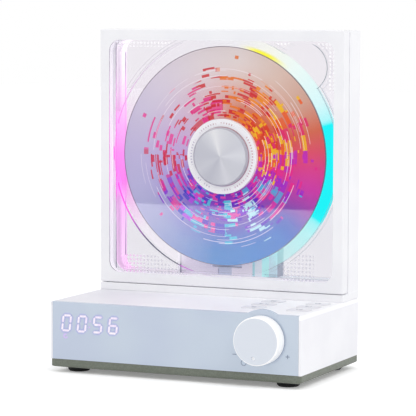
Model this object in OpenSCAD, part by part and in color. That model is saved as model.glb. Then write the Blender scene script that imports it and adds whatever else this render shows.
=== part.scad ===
// Disc player with a see-through upright on a low base, for a shelf or a wall.
// Lengths are in millimetres. X runs to the right, Y to the back and Z up.
// The origin lies on the surface that the feet stand on, under the middle of the object.

/* [Base] */
// Width of the base and of the upright
body_w = 144.4; // [136:0.1:156]
// Depth of the base from the fascia to the back
base_d = 83.5; // [80:0.1:96]
// Height of the housing between the bottom plate and the base top
housing_h = 30.9; // [30:0.1:38]
// Thickness of the coloured bottom plate
plate_h = 4.4; // [3.6:0.1:6]
// Height of the feet below the bottom plate
foot_h = 2.8; // [1.8:0.1:4]
// Radius of a foot
foot_r = 6; // [4:0.1:8]
// Wall of the moulded housings
wall = 2.2; // [1.6:0.1:2.8]
// Rounding of the housings' outer edges
edge_r = 0.8; // [0.4:0.1:1.2]
// Rounding of the bottom plate's lower edge
plate_r = 2.2; // [1:0.1:3]

/* [Fascia] */
// Thickness of the tinted front panel
fascia_t = 2.5; // [2:0.1:3]
// Strip of the housing that shows beside the fascia
fascia_inset = 1.5; // [1.2:0.1:1.8]
// Distance of the knob's axis from the right side
knob_from_right = 21.8; // [20:0.1:26]
// Height of the knob's axis above the bottom plate
knob_rise = 17.6; // [15:0.1:18]
// Radius of the knob
knob_r = 12.6; // [10:0.1:14]
// How far the knob stands out of the fascia
knob_out = 8.5; // [7:0.1:12]
// Width of the fascia's rim that shows round the knob
ear_rim = 3; // [2.6:0.1:4]
// Width of a digit of the display
digit_w = 5.6; // [5:0.1:6]
// Height of a digit
digit_h = 9.2; // [8:0.1:10]
// Distance from one digit to the next
digit_pitch = 9.25; // [8.6:0.05:9.6]
// Sideways lean of the digits, as a share of their height
digit_lean = 0.12; // [0:0.01:0.2]

/* [Keys] */
// Length of a key on the base top
key_w = 12; // [10:0.1:13]
// Width of a key
key_d = 9; // [7:0.1:10]
// Distance between the two columns of keys
key_column_pitch = 25.5; // [22:0.1:27]
// Distance between the rows of keys
key_row_pitch = 13.5; // [12.5:0.1:15]
// How far a key stands out of the base top
key_proud = 0.3; // [0.2:0.1:0.5]
// Travel of a key
key_travel = 0.6; // [0.4:0.1:0.8]

/* [Upright] */
// Height of the upright above the base top
upright_h = 144.7; // [142:0.1:160]
// Depth of the upright, door and case together
upright_d = 24.1; // [23.6:0.1:30]
// Thickness of the door
door_t = 6.7; // [6.4:0.1:7.2]
// Height of the sill below the door
sill_h = 4; // [3:0.1:6]
// Left border of the window
border_left = 5.6; // [5.4:0.1:6.6]
// Right border of the window
border_right = 6; // [5.8:0.1:9]
// Top border of the window
border_top = 6; // [5.4:0.1:8]
// Bottom border of the window, above the door's lower edge
border_bottom = 5.8; // [5:0.1:8]
// Corner radius of the window
window_r = 6.2; // [5:0.1:8]
// Thickness of the clear pane in the door
pane_t = 1.5; // [1.2:0.1:1.7]
// Thickness of the door's lip in front of the pane
pane_lip = 1; // [0.8:0.1:1.2]
// Radius of the hinge pins
pin_r = 1.2; // [1:0.05:1.4]

/* [Disc and tray] */
// Radius of the disc
disc_r = 60; // [58:0.1:61]
// Thickness of the disc
disc_t = 1.2; // [1:0.05:1.4]
// Radius of the disc's centre hole
disc_bore_r = 7.5; // [7:0.05:8]
// Distance of the disc's axis to the left of the window's middle
disc_off = 0.8; // [0:0.1:1.6]
// Height of the disc's axis above the base top
disc_rise = 75.65; // [75:0.05:77]
// Gap round the disc in the tray's recess
recess_gap = 6.5; // [6:0.1:7]
// Thickness of the clear tray
tray_t = 2; // [1.6:0.1:2.2]
// Radius of the finger lobe beside the recess
lobe_r = 13.4; // [10:0.1:14]
// Radius of the white clamp ring
clamp_r = 20.5; // [18:0.1:22]
// Radius of the metal cap on the clamp
cap_r = 16; // [13:0.1:17]
// Thickness of the clear rear cover
rear_cover_t = 2; // [1.6:0.1:2.2]

/* [Mechanism] */
// Width of the mechanism column
column_w = 60; // [59:0.1:64]
// Wall of the mechanism cover
column_wall = 1.5; // [1.2:0.1:1.6]
// Thickness of the chassis sheet
chassis_t = 1.2; // [1:0.1:1.4]
// Radius of the spindle motor
motor_r = 12; // [10:0.1:12.4]
// Radius of the sled's two rails and of the lead screw
rail_r = 1.5; // [1.2:0.05:1.7]
// Travel of the laser sled
sled_travel = 33; // [28:0.1:33]
// Distance from the disc's axis to the lens at rest
lens_in = 24; // [24:0.1:26]

/* [Rear wall] */
// Distance between the two keyholes
keyhole_spacing = 100; // [90:0.1:104]
// Radius of a keyhole's round entry
keyhole_r = 4; // [3.5:0.1:4.5]
// Half of the width of a keyhole's slot
keyhole_slot_r = 2; // [1.6:0.05:2.2]
// Distance from a keyhole's entry up to its seat
keyhole_rise = 6; // [5:0.1:7]
// Bore radius of the audio jack
jack_r = 1.8; // [1.75:0.05:1.85]

/* [Hidden] */
$fn = 64;

// Clearances: between fixed pieces, round moving pieces and of a pin in its bore
fit_gap = 0.1;
move_gap = 0.3;
run_gap = 0.05;

// Levels of the base
plate_z = foot_h;
housing_z = plate_z + plate_h;
base_top = housing_z + housing_h;
y_back = (base_d + knob_out) / 2;
y_front = y_back - base_d;
x_side = body_w / 2;

// Levels of the upright, from the door's front face to the back
total_h = base_top + upright_h;
y_door = y_back - upright_d;
y_door_back = y_door + door_t;
y_case = y_door_back + 0.4;
sill_top = base_top + sill_h;
door_z = sill_top + 0.4;
win_x = (border_left - border_right) / 2;
win_w = body_w - border_left - border_right;
win_z0 = door_z + border_bottom;
win_h = total_h - border_top - win_z0;
win_z = win_z0 + win_h / 2;

// Door: hinge axis in the rounded left edge, pane in a pocket behind the lip
hinge_x = -x_side + door_t / 2;
hinge_y = y_door + door_t / 2;
hinge_ear_r = pin_r + 1;
hinge_arm = 1.2;
ear_t = 2;
ear_z = total_h - ear_t - 1.6;
pane_y = y_door + pane_lip;
pane_over = 1.4;

// Disc, clamp and tray, from the pane backwards
cap_y = pane_y + pane_t + 0.4;
cap_t = 2.6;
ring_t = 2.1;
disc_y = cap_y + cap_t + ring_t;
disc_x = win_x - disc_off;
disc_z = base_top + disc_rise;
table_y = disc_y + disc_t;
table_t = 1.3;
table_r = 17;
recess_r = disc_r + recess_gap;
rim_w = 1.2;
tray_y = y_case;
tray_floor_y = table_y + 1.5;
tray_back = tray_floor_y + tray_t;
lobe_x = 47;
lobe_z = 48.9;
slot_w = 18;
bar_t = 2;
bar_gap = 1;
groove_w = 0.8;
groove_d = 0.8;
hub_hole_r = table_r + 2;

// Rear cover and mechanism column, from the back forwards
cover_y = y_back - rear_cover_t;
column_back = cover_y;
column_front = column_back - 8.4;
column_z = win_z0;
chassis_y = column_front + 1.4;
chassis_back = chassis_y + chassis_t;
chassis_r = column_w / 2 - column_wall - 1.5;
damper_r = 3.4;
damper_low = [chassis_r - damper_r, column_z + column_wall + damper_r + 0.2];
damper_high = [16.5, disc_z + 15.75];
damper_neck_r = 2.35;
damper_front = 0.8;
damper_rear = 1.6;
damper_head_t = 0.5;
column_front_t = 0.7;
post_r = 1.6;
motor_t = column_back - column_wall - 0.2 - chassis_back;

// Laser sled: the lens sits near its lower end
sled_below = 3.8;
sled_above = 11;
lens_z = disc_z - lens_in;
sled_z0 = lens_z - sled_below;
sled_h = sled_below + sled_above;
sled_low = sled_z0 - sled_travel;
rail_x = 16;
rail_y = chassis_back + rail_r + 0.2;
rail_lug = rail_r + 1.1;
sled_w = 2 * rail_x - 7;
sled_y = tray_back + 0.4;
screw_x = rail_x + 5;
rail_z0 = column_z + column_wall + fit_gap;
rail_z1 = sled_z0 + sled_h + 1.4;
rail_lug_h = 1.3;
slot_half = rail_x + rail_lug + 0.5;
screw_lug_h = 1.4;
screw_z0 = damper_low[1] + damper_r + screw_lug_h + 0.4;
screw_z1 = rail_z1 + 2.4;
sled_motor_r = 4.5;
sled_motor_h = 12;
nut_h = 6;

// Flat cable in front of the chassis, up to below the sled's lowest place
flex_w = 8;
flex_x = disc_x - 5.2;
flex_top = sled_low - 1.6;

// Knob and its control behind the fascia
knob_x = x_side - knob_from_right;
knob_z = housing_z + knob_rise;
knob_y = y_front - knob_out;
ear_r = knob_r + ear_rim;
shaft_r = 2;
bush_r = 3.4;
fascia_w = body_w - 2 * fascia_inset;
fascia_back = y_front + fascia_t;

// Display: four digits behind the fascia's left part
digits_x = -x_side + fascia_inset + 8.3;
digits_z = housing_z + 19.2;
display_t = 4.5;
display_y = fascia_back + 0.3;
segment_w = 1;

// Keys: two columns and three rows on the base top
key_x = x_side - 10.1 - key_column_pitch;
key_y = y_front + 0.6 * (y_door - y_front);
key_r = 1.6;
key_lip = 0.8;
key_lip_h = 1;
key_post_x = 3.5;
key_post_r = 1.4;
key_gap = 0.2;
top_under = base_top - wall;
switch_h = 1.4;
plunger_h = 0.4;
key_board_t = 1.2;
key_stem_z = top_under - 2;
plunger_top = key_stem_z - key_travel - 0.1;
key_board_z = plunger_top - plunger_h - switch_h - key_board_t;

// Base interior
foot_x = x_side - foot_r - 5.5;
foot_y = [y_front + foot_r + 5.4, y_back - foot_r - 5.4];
foot_seat = 1;
boss_r = 3.6;
boss_h = 12;
boss_rib = 1.4;
rib_x = [-26, -6];
pilot_r = 1.25;
screw_r = 1.15;
head_r = 2.3;
head_t = 0.8;
head_z = plate_z + foot_seat + 0.3;
speaker_r = 17;
speaker_x = x_side - 28.2;
speaker_h = 15;
speaker_dish = 7;
floor_z = plate_z + 2;
board_w = 46;
board_z = housing_z + 4;
board_t = 1.6;
board_top = board_z + board_t;
board_y1 = y_back - wall - 0.5;
cell_r = 9;
cell_l = 65;
cell_y = y_front + 24.5;
speaker_y = cell_y + cell_r + speaker_r - 0.5;
board_d = board_y1 - cell_y - cell_r - 7.3;
cell_z = housing_z + cell_r + 1.6;
port_x = board_w / 2 - 7;
jack_d = 12;
rear_in = y_back - wall;
keyhole_z = housing_z + 13.4;
switch_z = board_top + 2.6;
jack_z = board_top + 3.2;
mode_travel = 4;
magnet_r = 1.5;
magnet_t = 2;
magnet_x = x_side - 2.5;
magnet_rise = 40;

// Rounded rectangle about the origin
module rounded(w, h, r) {
    square([w - 2 * r, h], center = true);
    square([w, h - 2 * r], center = true);
    for (sx = [-1, 1], sy = [-1, 1])
        translate([sx * (w / 2 - r), sy * (h / 2 - r)]) circle(r);
}

// Extrusion of an outline in X and Z, from y0 backwards
module to_back(y0, t) {
    translate([0, y0 + t, 0]) rotate([90, 0, 0]) linear_extrude(t) children();
}

// Extrusion of an outline in Y and Z, from x0 to the right
module to_right(x0, t) {
    translate([x0, 0, 0]) rotate([90, 0, 90]) linear_extrude(t) children();
}

// Box between two opposite corners
module block(a, b) {
    translate(a) cube(b - a);
}

// Box between two corners with every edge rounded
module soft_block(a, b, r) {
    c = (a + b) / 2;
    s = b - a;
    intersection() {
        translate([c[0], c[1], a[2]]) linear_extrude(s[2]) rounded(s[0], s[1], r);
        to_back(a[1], s[1]) translate([c[0], c[2]]) rounded(s[0], s[2], r);
        to_right(a[0], s[0]) translate([c[1], c[2]]) rounded(s[1], s[2], r);
    }
}

// Round bar along Y, from y0 backwards
module rod_y(x, y0, z, r, l) {
    translate([x, y0 + l, z]) rotate([90, 0, 0]) cylinder(r = r, h = l);
}

// Outline of the window, grown by a margin on every side
module window_outline(grow = 0) {
    translate([win_x, win_z])
        rounded(win_w + 2 * grow, win_h + 2 * grow, window_r + grow);
}

// Copies at the four corners, where each foot covers a screw
module at_corners() {
    for (sx = [-1, 1], y = foot_y) translate([sx * foot_x, y, 0]) children();
}

// Copies at the two speakers
module at_speakers() {
    for (sx = [-1, 1]) translate([sx * speaker_x, speaker_y, 0]) children();
}

// Bottom plate with a rounded lower edge, foot seats, screw seats, sound holes and board posts
module bottom_plate() {
    color("#747a6e") difference() {
        intersection() {
            soft_block([-x_side, y_front, plate_z], [x_side, y_back, housing_z + 10], plate_r);
            translate([0, (y_front + y_back) / 2, 0]) linear_extrude(housing_z)
                rounded(body_w, base_d, plate_r);
            block([-x_side, y_front, plate_z], [x_side, y_back, housing_z]);
        }
        block([-x_side + wall + 1, y_front + wall + 3, floor_z],
              [x_side - wall - 1, y_back - wall - 1, housing_z + 1]);
        foot_seats();
        at_speakers() sound_holes();
    }
    color("#747a6e") difference() {
        at_corners() translate([0, 0, plate_z + 1.6]) cylinder(r = boss_r, h = plate_h - 1.6);
        foot_seats();
    }
    color("#747a6e") for (x = [-1, 1] * (board_w / 2 - 4), y = [board_y1 - board_d + 4, rear_in - jack_d - 5.5])
        translate([x, y, floor_z - 0.5]) cylinder(r = 2, h = board_z - floor_z + 0.5);
}

// Round seats of the feet, each with the seat and the hole of the screw above it
module foot_seats() {
    at_corners() {
        translate([0, 0, plate_z - 1]) cylinder(r = foot_r + fit_gap, h = foot_seat + 1);
        translate([0, 0, plate_z]) cylinder(r = head_r + 0.2, h = head_z + head_t + fit_gap - plate_z);
        translate([0, 0, plate_z]) cylinder(r = screw_r + fit_gap, h = plate_h + 1);
    }
}

// Rings of holes below a speaker
module sound_holes() {
    translate([0, 0, plate_z - 1]) {
        cylinder(r = 1.1, h = 5, $fn = 24);
        for (ring = [1 : 3], i = [0 : 6 * ring - 1])
            rotate(i * 60 / ring) translate([ring * 3.9, 0, 0]) cylinder(r = 1.1, h = 5, $fn = 24);
    }
}

module rubber_feet() {
    top = plate_z + foot_seat - fit_gap;
    color("#26282b") at_corners()
        rotate_extrude() polygon([[0, 0], [foot_r - 0.8, 0], [foot_r, 0.8], [foot_r, top], [0, top]]);
}

module bottom_screws() {
    color("#9a9da1") at_corners() translate([0, 0, head_z]) difference() {
        union() {
            cylinder(r = head_r, h = head_t);
            cylinder(r = screw_r, h = 12);
        }
        translate([0, 0, -1]) cylinder(r = 1, h = 1.4, $fn = 6);
    }
}

// Keyhole outline: a round entry with a slot that rises from it
module keyhole() {
    circle(keyhole_r);
    translate([-keyhole_slot_r, 0]) square([2 * keyhole_slot_r, keyhole_rise]);
    translate([0, keyhole_rise]) circle(keyhole_slot_r);
}

// Copies at the six keys
module at_keys() {
    for (column = [0, 1], row = [0 : 2])
        translate([key_x + column * key_column_pitch, key_y + (row - 1) * key_row_pitch, 0]) children();
}

// Part of the base shell between two levels, open at the front for the fascia
module base_shell(z0, z1) {
    difference() {
        intersection() {
            soft_block([-x_side, y_front, plate_z], [x_side, y_back, base_top], edge_r);
            block([-x_side, y_front, z0], [x_side, y_back, z1]);
        }
        block([-x_side + wall, y_front - 1, plate_z], [x_side - wall, y_back - wall, top_under]);
        block([-fascia_w / 2 - fit_gap, y_front - 1, plate_z],
              [fascia_w / 2 + fit_gap, fascia_back + fit_gap, base_top + 1]);
    }
}

// Walls of the base, with the corner bosses and the openings of the back
module base_housing() {
    color("#f1f2f5") difference() {
        union() {
            base_shell(housing_z, top_under);
            corner_bosses();
        }
        at_corners() translate([0, 0, housing_z - 1]) cylinder(r = pilot_r, h = boss_h);
        for (sx = [-1, 1]) to_back(rear_in - 1, wall + 2)
            translate([sx * keyhole_spacing / 2, keyhole_z]) keyhole();
        to_back(rear_in - 1, wall + 2) translate([0, board_top + 1.6]) rounded(9.6, 3.8, 1.8);
        rod_y(port_x, rear_in - 1, jack_z, 3 + fit_gap, wall + 2);
        to_back(rear_in - 1, wall + 2) translate([-port_x, switch_z]) square([9, 4], center = true);
    }
}

// Bosses of the plate's screws, each on a rib to the side wall
module corner_bosses() {
    at_corners() translate([0, 0, housing_z]) cylinder(r = boss_r, h = boss_h);
    for (sx = [-1, 1], y = foot_y)
        block([min(sx * foot_x, sx * (x_side - 1)), y - boss_rib / 2, housing_z],
              [max(sx * foot_x, sx * (x_side - 1)), y + boss_rib / 2, housing_z + boss_h]);
}

// Top panel, fused to the walls, with the keys' openings, the posts of their board and two ribs
module top_panel() {
    color("#f1f2f5") difference() {
        union() {
            base_shell(top_under, base_top);
            for (x = [-1, 1] * key_post_x, y = [-1, 1] * key_row_pitch)
                translate([key_x + key_column_pitch / 2 + x, key_y + y, key_board_z + key_board_t])
                    cylinder(r = key_post_r, h = base_top - 0.5 - key_board_z - key_board_t);
            for (x = rib_x) block([x, fascia_back + 0.2, top_under - 3], [x + boss_rib, y_door, base_top - 0.5]);
        }
        at_keys() translate([0, 0, top_under - 1]) linear_extrude(wall + 2)
            rounded(key_w + 2 * key_gap, key_d + 2 * key_gap, key_r + key_gap);
        flex_slot(top_under - 1, base_top + 1);
    }
}

// Slot for the flat cable between the upright and the base
module flex_slot(z0, z1) {
    block([flex_x - 1, column_front + 0.2, z0], [flex_x + flex_w + 1, column_front + 1.3, z1]);
}

// Tinted front panel with a half-round ear behind the knob
module fascia() {
    color("#c1ccde") difference() {
        to_back(y_front, fascia_t) {
            translate([0, housing_z + fit_gap + (housing_h - fit_gap) / 2])
                square([fascia_w, housing_h - fit_gap], center = true);
            intersection() {
                translate([knob_x, knob_z]) circle(ear_r, $fn = 96);
                translate([knob_x - ear_r, knob_z]) square([2 * ear_r, ear_r + 1]);
            }
        }
        rod_y(knob_x, y_front - 1, knob_z, bush_r + fit_gap, fascia_t + 2);
    }
}

// One bar of a digit about its own middle, upright or lying, as its corner points
function bar(l, w) = [[-l / 2, 0], [-l / 2 + w / 2, w / 2], [l / 2 - w / 2, w / 2],
    [l / 2, 0], [l / 2 - w / 2, -w / 2], [-l / 2 + w / 2, -w / 2]];
function turned(p, lying) = lying ? p : [p[1], p[0]];

// The seven bars of a digit: middle in halves of the digit's size, and whether it lies
bars = [[0, 1, true], [0, 0, true], [0, -1, true],
        [-1, 0.5, false], [1, 0.5, false], [-1, -0.5, false], [1, -0.5, false]];

module digit() {
    for (b = bars) {
        l = (b[2] ? digit_w - segment_w : (digit_h - segment_w) / 2) - 0.3;
        mid = [b[0] * (digit_w - segment_w) / 2, b[1] * (digit_h - segment_w) / 2];
        polygon([for (p = bar(l, segment_w)) let (q = mid + turned(p, b[2]))
            [q[0] + digit_lean * q[1], q[1]]]);
    }
}

// Display block with its raised light bars
module display_module() {
    color("#3a3f47") to_back(display_y + 0.2, display_t)
        translate([digits_x + 1.5 * digit_pitch, digits_z - 1]) rounded(4 * digit_pitch + 1, digit_h + 7, 0.6);
    color("#f3e6f2") to_back(display_y, 0.2) for (i = [0 : 3])
        translate([digits_x + i * digit_pitch, digits_z]) digit();
}

// Control behind the knob: box, bushing and its solder tags
module potentiometer() {
    color("#8b9096") difference() {
        union() {
            block([knob_x - 6.5, fascia_back + 0.1, knob_z - 7.2], [knob_x + 6.5, fascia_back + 7.5, knob_z + 6.5]);
            rod_y(knob_x, y_front + 0.4, knob_z, bush_r, fascia_t);
            for (x = [-3, 0, 3])
                block([knob_x + x - 0.5, fascia_back + 3, knob_z - 11], [knob_x + x + 0.5, fascia_back + 3.6, knob_z - 7]);
        }
        rod_y(knob_x, y_front - 1, knob_z, shaft_r + run_gap, fascia_t + 7);
    }
}

// Main circuit board with its larger parts
module main_board() {
    color("#2f6b4a") block([-board_w / 2, board_y1 - board_d, board_z], [board_w / 2, board_y1, board_top]);
    color("#303338") for (p = [[-0.13, 0.65, 9], [0.17, 0.7, 7], [-0.3, 0.75, 5]])
        translate([p[0] * board_w, board_y1 - p[1] * board_d, board_top + 0.6]) cube([p[2], p[2], 1.2], center = true);
    color("#8d949c") for (p = [[0.33, 0.775], [0.28, 0.55]])
        translate([p[0] * board_w, board_y1 - p[1] * board_d, board_top]) cylinder(r = 3, h = 8);
}

// Battery cell lying in its cradle
module battery_pack() {
    color("#4f74a8") translate([-cell_l / 2, cell_y, cell_z]) rotate([0, 90, 0]) cylinder(r = cell_r, h = cell_l);
    color("#303338") for (x = [-cell_l / 2 - 1.6, cell_l / 2])
        block([x, cell_y - cell_r, floor_z], [x + 1.6, cell_y + cell_r, cell_z + 4]);
    color("#303338") block([-cell_l / 2, cell_y - 5, floor_z], [cell_l / 2, cell_y + 5, cell_z - cell_r + 1]);
}

module speaker_baskets() {
    neck = speaker_r - speaker_dish;
    color("#3b3d42") at_speakers() translate([0, 0, floor_z]) rotate_extrude()
        polygon([[speaker_r, 0], [speaker_r, 2], [neck, speaker_dish + 2], [neck - 1, speaker_h], [0, speaker_h],
            [0, speaker_dish + 1], [neck - 2, speaker_dish + 1], [speaker_r - 2, 0]]);
}

module speaker_cones() {
    coil_r = speaker_r - speaker_dish - 3;
    top = speaker_dish + 0.8;
    color("#55585e") at_speakers() translate([0, 0, floor_z]) rotate_extrude()
        polygon([[speaker_r - 2.3, 0.1], [speaker_r - 3.3, 0.1], [coil_r, top - 3.8], [0, top - 5.2], [0, top - 4.2],
            [coil_r, top - 2.8], [coil_r, top], [coil_r + 0.7, top]]);
}

// Power socket on the board's rear edge
module usb_port() {
    color("#b9bdc2") translate([0, 0, board_top + 1.6]) difference() {
        to_back(y_back - 8, 7.6) rounded(9, 3.2, 1.5);
        to_back(y_back - 7, 8) rounded(8.2, 2.4, 1.1);
    }
    color("#303338") to_back(y_back - 7.2, 5.5) translate([0, board_top + 1.6]) square([6.4, 0.7], center = true);
}

// Sound socket: a body on the board and a barrel through the rear wall
module audio_jack() {
    color("#303338") difference() {
        union() {
            block([port_x - 3.3, rear_in - jack_d, board_top], [port_x + 3.3, rear_in - 0.2, jack_z + 3.2]);
            rod_y(port_x, rear_in - 0.4, jack_z, 3, wall + 0.2);
        }
        rod_y(port_x, rear_in - jack_d + 1, jack_z, jack_r, jack_d + wall);
    }
}

// Body of the slide switch on the rear wall
module switch_body() {
    color("#303338") difference() {
        block([-port_x - 6.5, rear_in - 5.4, board_top], [-port_x + 6.5, rear_in - 0.2, switch_z + 2.6]);
        block([-port_x - 4.6, rear_in - 3.4, switch_z - 1.4], [-port_x + 4.6, rear_in + 1, switch_z + 1.4]);
    }
}

// Slider of the rear switch, at the left end of its travel
module mode_switch() {
    x = -port_x - mode_travel / 2;
    color("#303338") {
        block([x - 1.6, rear_in - 3.1, switch_z - 1.1], [x + 1.6, y_back - 0.4, switch_z + 1.1]);
        for (i = [-1, 0, 1]) block([x + i - 0.2, y_back - 0.6, switch_z - 1.1], [x + i + 0.2, y_back - 0.1, switch_z + 1.1]);
    }
}

// Board below the keys
module key_board() {
    color("#2f6b4a") block([key_x - key_w / 2 - 2, key_y - key_row_pitch - key_d / 2 - 1.5, key_board_z],
        [key_x + key_column_pitch + key_w / 2 + 1, key_y + key_row_pitch + key_d / 2 + 1.5, key_board_z + key_board_t]);
}

module key_switches() {
    color("#55585e") at_keys() translate([0, 0, key_board_z + key_board_t]) {
        translate([-2.2, -2.2, 0]) cube([4.4, 4.4, switch_h]);
        cylinder(r = 1, h = switch_h + plunger_h);
    }
}

// One key: cap, retaining lip and stem
module key_cap(column, row) {
    translate([key_x + column * key_column_pitch, key_y + (row - 1) * key_row_pitch, 0]) {
        translate([0, 0, top_under - 0.6]) linear_extrude(wall + key_proud + 0.6) rounded(key_w, key_d, key_r);
        translate([0, 0, top_under - 0.3 - key_lip_h]) linear_extrude(key_lip_h)
            rounded(key_w + 2 * key_lip, key_d + 2 * key_lip, key_r + key_lip);
        translate([0, 0, key_stem_z]) cylinder(r = 1.5, h = top_under - key_stem_z);
    }
}

module key_play() { color("#eceef2") key_cap(0, 1); }
module key_stop() { color("#eceef2") key_cap(0, 0); }
module key_previous() { color("#eceef2") key_cap(1, 0); }
module key_next() { color("#eceef2") key_cap(1, 1); }
module key_mode() { color("#eceef2") key_cap(0, 2); }
module key_repeat() { color("#eceef2") key_cap(1, 2); }

// Case of the upright: a deep ring with the door's sill below and its hinge ear above
module rear_case() {
    color("#eff0f4") difference() {
        union() {
            soft_block([-x_side, y_case, base_top], [x_side, y_back, total_h], edge_r);
            soft_block([-x_side, y_door, base_top], [x_side, y_case + 3, sill_top], 0.4);
            translate([0, 0, ear_z]) linear_extrude(ear_t) hinge_ear();
        }
        to_back(y_case - 1, upright_d) window_outline();
        to_back(y_case - 1, tray_t + 1) window_outline(rim_w);
        to_back(cover_y, rear_cover_t + 1) window_outline(rim_w);
        translate([hinge_x, hinge_y, sill_top - 3]) cylinder(r = pin_r + 0.02, h = 4);
        translate([hinge_x, hinge_y, ear_z - 1]) cylinder(r = pin_r + 0.02, h = ear_t + 0.4);
        for (s = [-1, 1]) rod_y(magnet_x, y_case - 1, disc_z + s * magnet_rise, magnet_r + fit_gap, magnet_t + 1);
        for (s = [-1, 1]) light_bar(s, fit_gap, 1);
        block([x_side - groove_d, y_case - 1, sill_top], [x_side + 1, y_case + groove_w, total_h + 1]);
        block([-x_side - 1, y_case - 1, total_h - groove_d], [x_side + 1, y_case + groove_w, total_h + 1]);
        flex_slot(base_top - 1, win_z0 + 1);
    }
}

// Ear that holds the upper hinge pin, on an arm that reaches into the door from behind
module hinge_ear() {
    translate([hinge_x, hinge_y]) {
        circle(hinge_ear_r);
        translate([-hinge_arm, 0]) square([hinge_arm + hinge_ear_r, y_case - hinge_y + 2]);
    }
}

// Pocket in the door for the ear, with the arm's way as the door turns by a quarter
module hinge_pocket() {
    r = hinge_ear_r + move_gap;
    translate([0, 0, ear_z - move_gap]) linear_extrude(ear_t + 2 * move_gap) {
        translate([hinge_x, hinge_y]) circle(r);
        translate([hinge_x, hinge_y]) square([r, door_t]);
        translate([-x_side - 1, hinge_y - hinge_arm - move_gap]) square([hinge_x + x_side + 1, door_t + 2]);
    }
}

module hinge_pins() {
    color("#c9ccd1") translate([hinge_x, hinge_y, 0]) {
        translate([0, 0, sill_top - 2.9]) cylinder(r = pin_r, h = 2.9 + 0.4 + 6.6);
        translate([0, 0, ear_z - 5.2]) cylinder(r = pin_r, h = 5.2 + ear_t - 0.7);
    }
}

module case_magnets() {
    color("#c9ccd1") for (s = [-1, 1])
        rod_y(magnet_x, y_case, disc_z + s * magnet_rise, magnet_r, magnet_t);
}

// Clear sheet in the back of the case
module rear_cover() {
    color("#e4e2ec", 0.35) to_back(cover_y, rear_cover_t) window_outline(rim_w - fit_gap);
}

// Outline of the tray's recess: the disc's circle and the finger lobe
module recess_outline(grow = 0) {
    translate([disc_x, disc_z]) circle(recess_r + grow, $fn = 120);
    translate([disc_x + lobe_x, disc_z + lobe_z]) circle(lobe_r + grow);
}

// Clear tray: corner lands at the front, a wall down to the recess floor and a rim all round
module disc_tray() {
    color("#e6e4ee", 0.35) difference() {
        union() {
            to_back(tray_y, tray_t) difference() {
                window_outline(rim_w - fit_gap);
                intersection() {
                    recess_outline();
                    window_outline(-0.1);
                }
            }
            to_back(tray_y, tray_back - tray_y) intersection() {
                window_outline(-0.1);
                difference() {
                    recess_outline(1.6);
                    recess_outline();
                }
            }
            to_back(tray_y, tray_back - tray_y) difference() {
                window_outline(-0.1);
                window_outline(-1.5);
            }
            to_back(tray_floor_y, tray_t) intersection() {
                recess_outline(0.8);
                window_outline(-0.1);
            }
        }
        to_back(tray_floor_y - 1, tray_t + 2) {
            translate([disc_x, disc_z]) circle(hub_hole_r);
            translate([disc_x - slot_w / 2, sled_low - 0.6]) square([slot_w, disc_z - sled_low]);
        }
    }
}

// Light bar let into an inner side wall behind the tray, or the groove that it lies in
module light_bar(side, grow = 0, open = 0) {
    wall_x = win_x + side * win_w / 2;
    ends = [wall_x - side * open, wall_x + side * (bar_t + grow)];
    l = win_h / 2 - window_r - bar_gap;
    block([min(ends), tray_back + bar_gap - grow, win_z - l - grow], [max(ends), cover_y - bar_gap + grow, win_z + l + grow]);
}
module light_bar_left() { color("#ff9ce8") light_bar(-1); }
module light_bar_right() { color("#8ff4ff") light_bar(1); }

// Outline of the mechanism column: straight sides and a round top about the disc's axis
module column_outline(shrink, z0) {
    translate([disc_x, disc_z]) circle(column_w / 2 - shrink, $fn = 96);
    translate([disc_x - column_w / 2 + shrink, z0]) square([column_w - 2 * shrink, disc_z - z0]);
}

// Copies at the four rubber dampers, and the same places as an outline's points
module at_dampers() {
    for (sx = [-1, 1]) {
        translate([disc_x + sx * damper_low[0], damper_low[1]]) children();
        translate([disc_x + sx * damper_high[0], damper_high[1]]) children();
    }
}

// Shell of the column, open towards the disc, with a post behind each damper
module mechanism_cover() {
    color("#b4bac6") difference() {
        union() {
            difference() {
                to_back(column_front, column_back - column_front) column_outline(0, column_z);
                to_back(column_front - 1, column_back - column_front + 1 - column_wall)
                    column_outline(column_wall, column_z + column_wall);
            }
            to_back(chassis_back + damper_rear, column_back - chassis_back - damper_rear - 0.5)
                at_dampers() circle(post_r + 1.2);
        }
        to_back(chassis_y, 4.4) at_dampers() circle(1.05);
        block([flex_x - 1, column_front - 1, column_z - 1], [flex_x + flex_w + 1, column_front + 1.3, column_z + column_wall + 1]);
    }
}

// Front plate of the column: it leaves the turntable, the lens and the flat cable open
module mechanism_front() {
    color("#d9d6e2") to_back(column_front - column_front_t, column_front_t) difference() {
        column_outline(0.2, column_z);
        translate([disc_x, disc_z]) circle(hub_hole_r);
        translate([disc_x - slot_w / 2, sled_low - 0.6]) square([slot_w, disc_z - sled_low]);
        translate([flex_x - 0.2, column_z - 1]) square([flex_w + 0.4, flex_top + 0.2 - column_z + 1]);
    }
}

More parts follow.
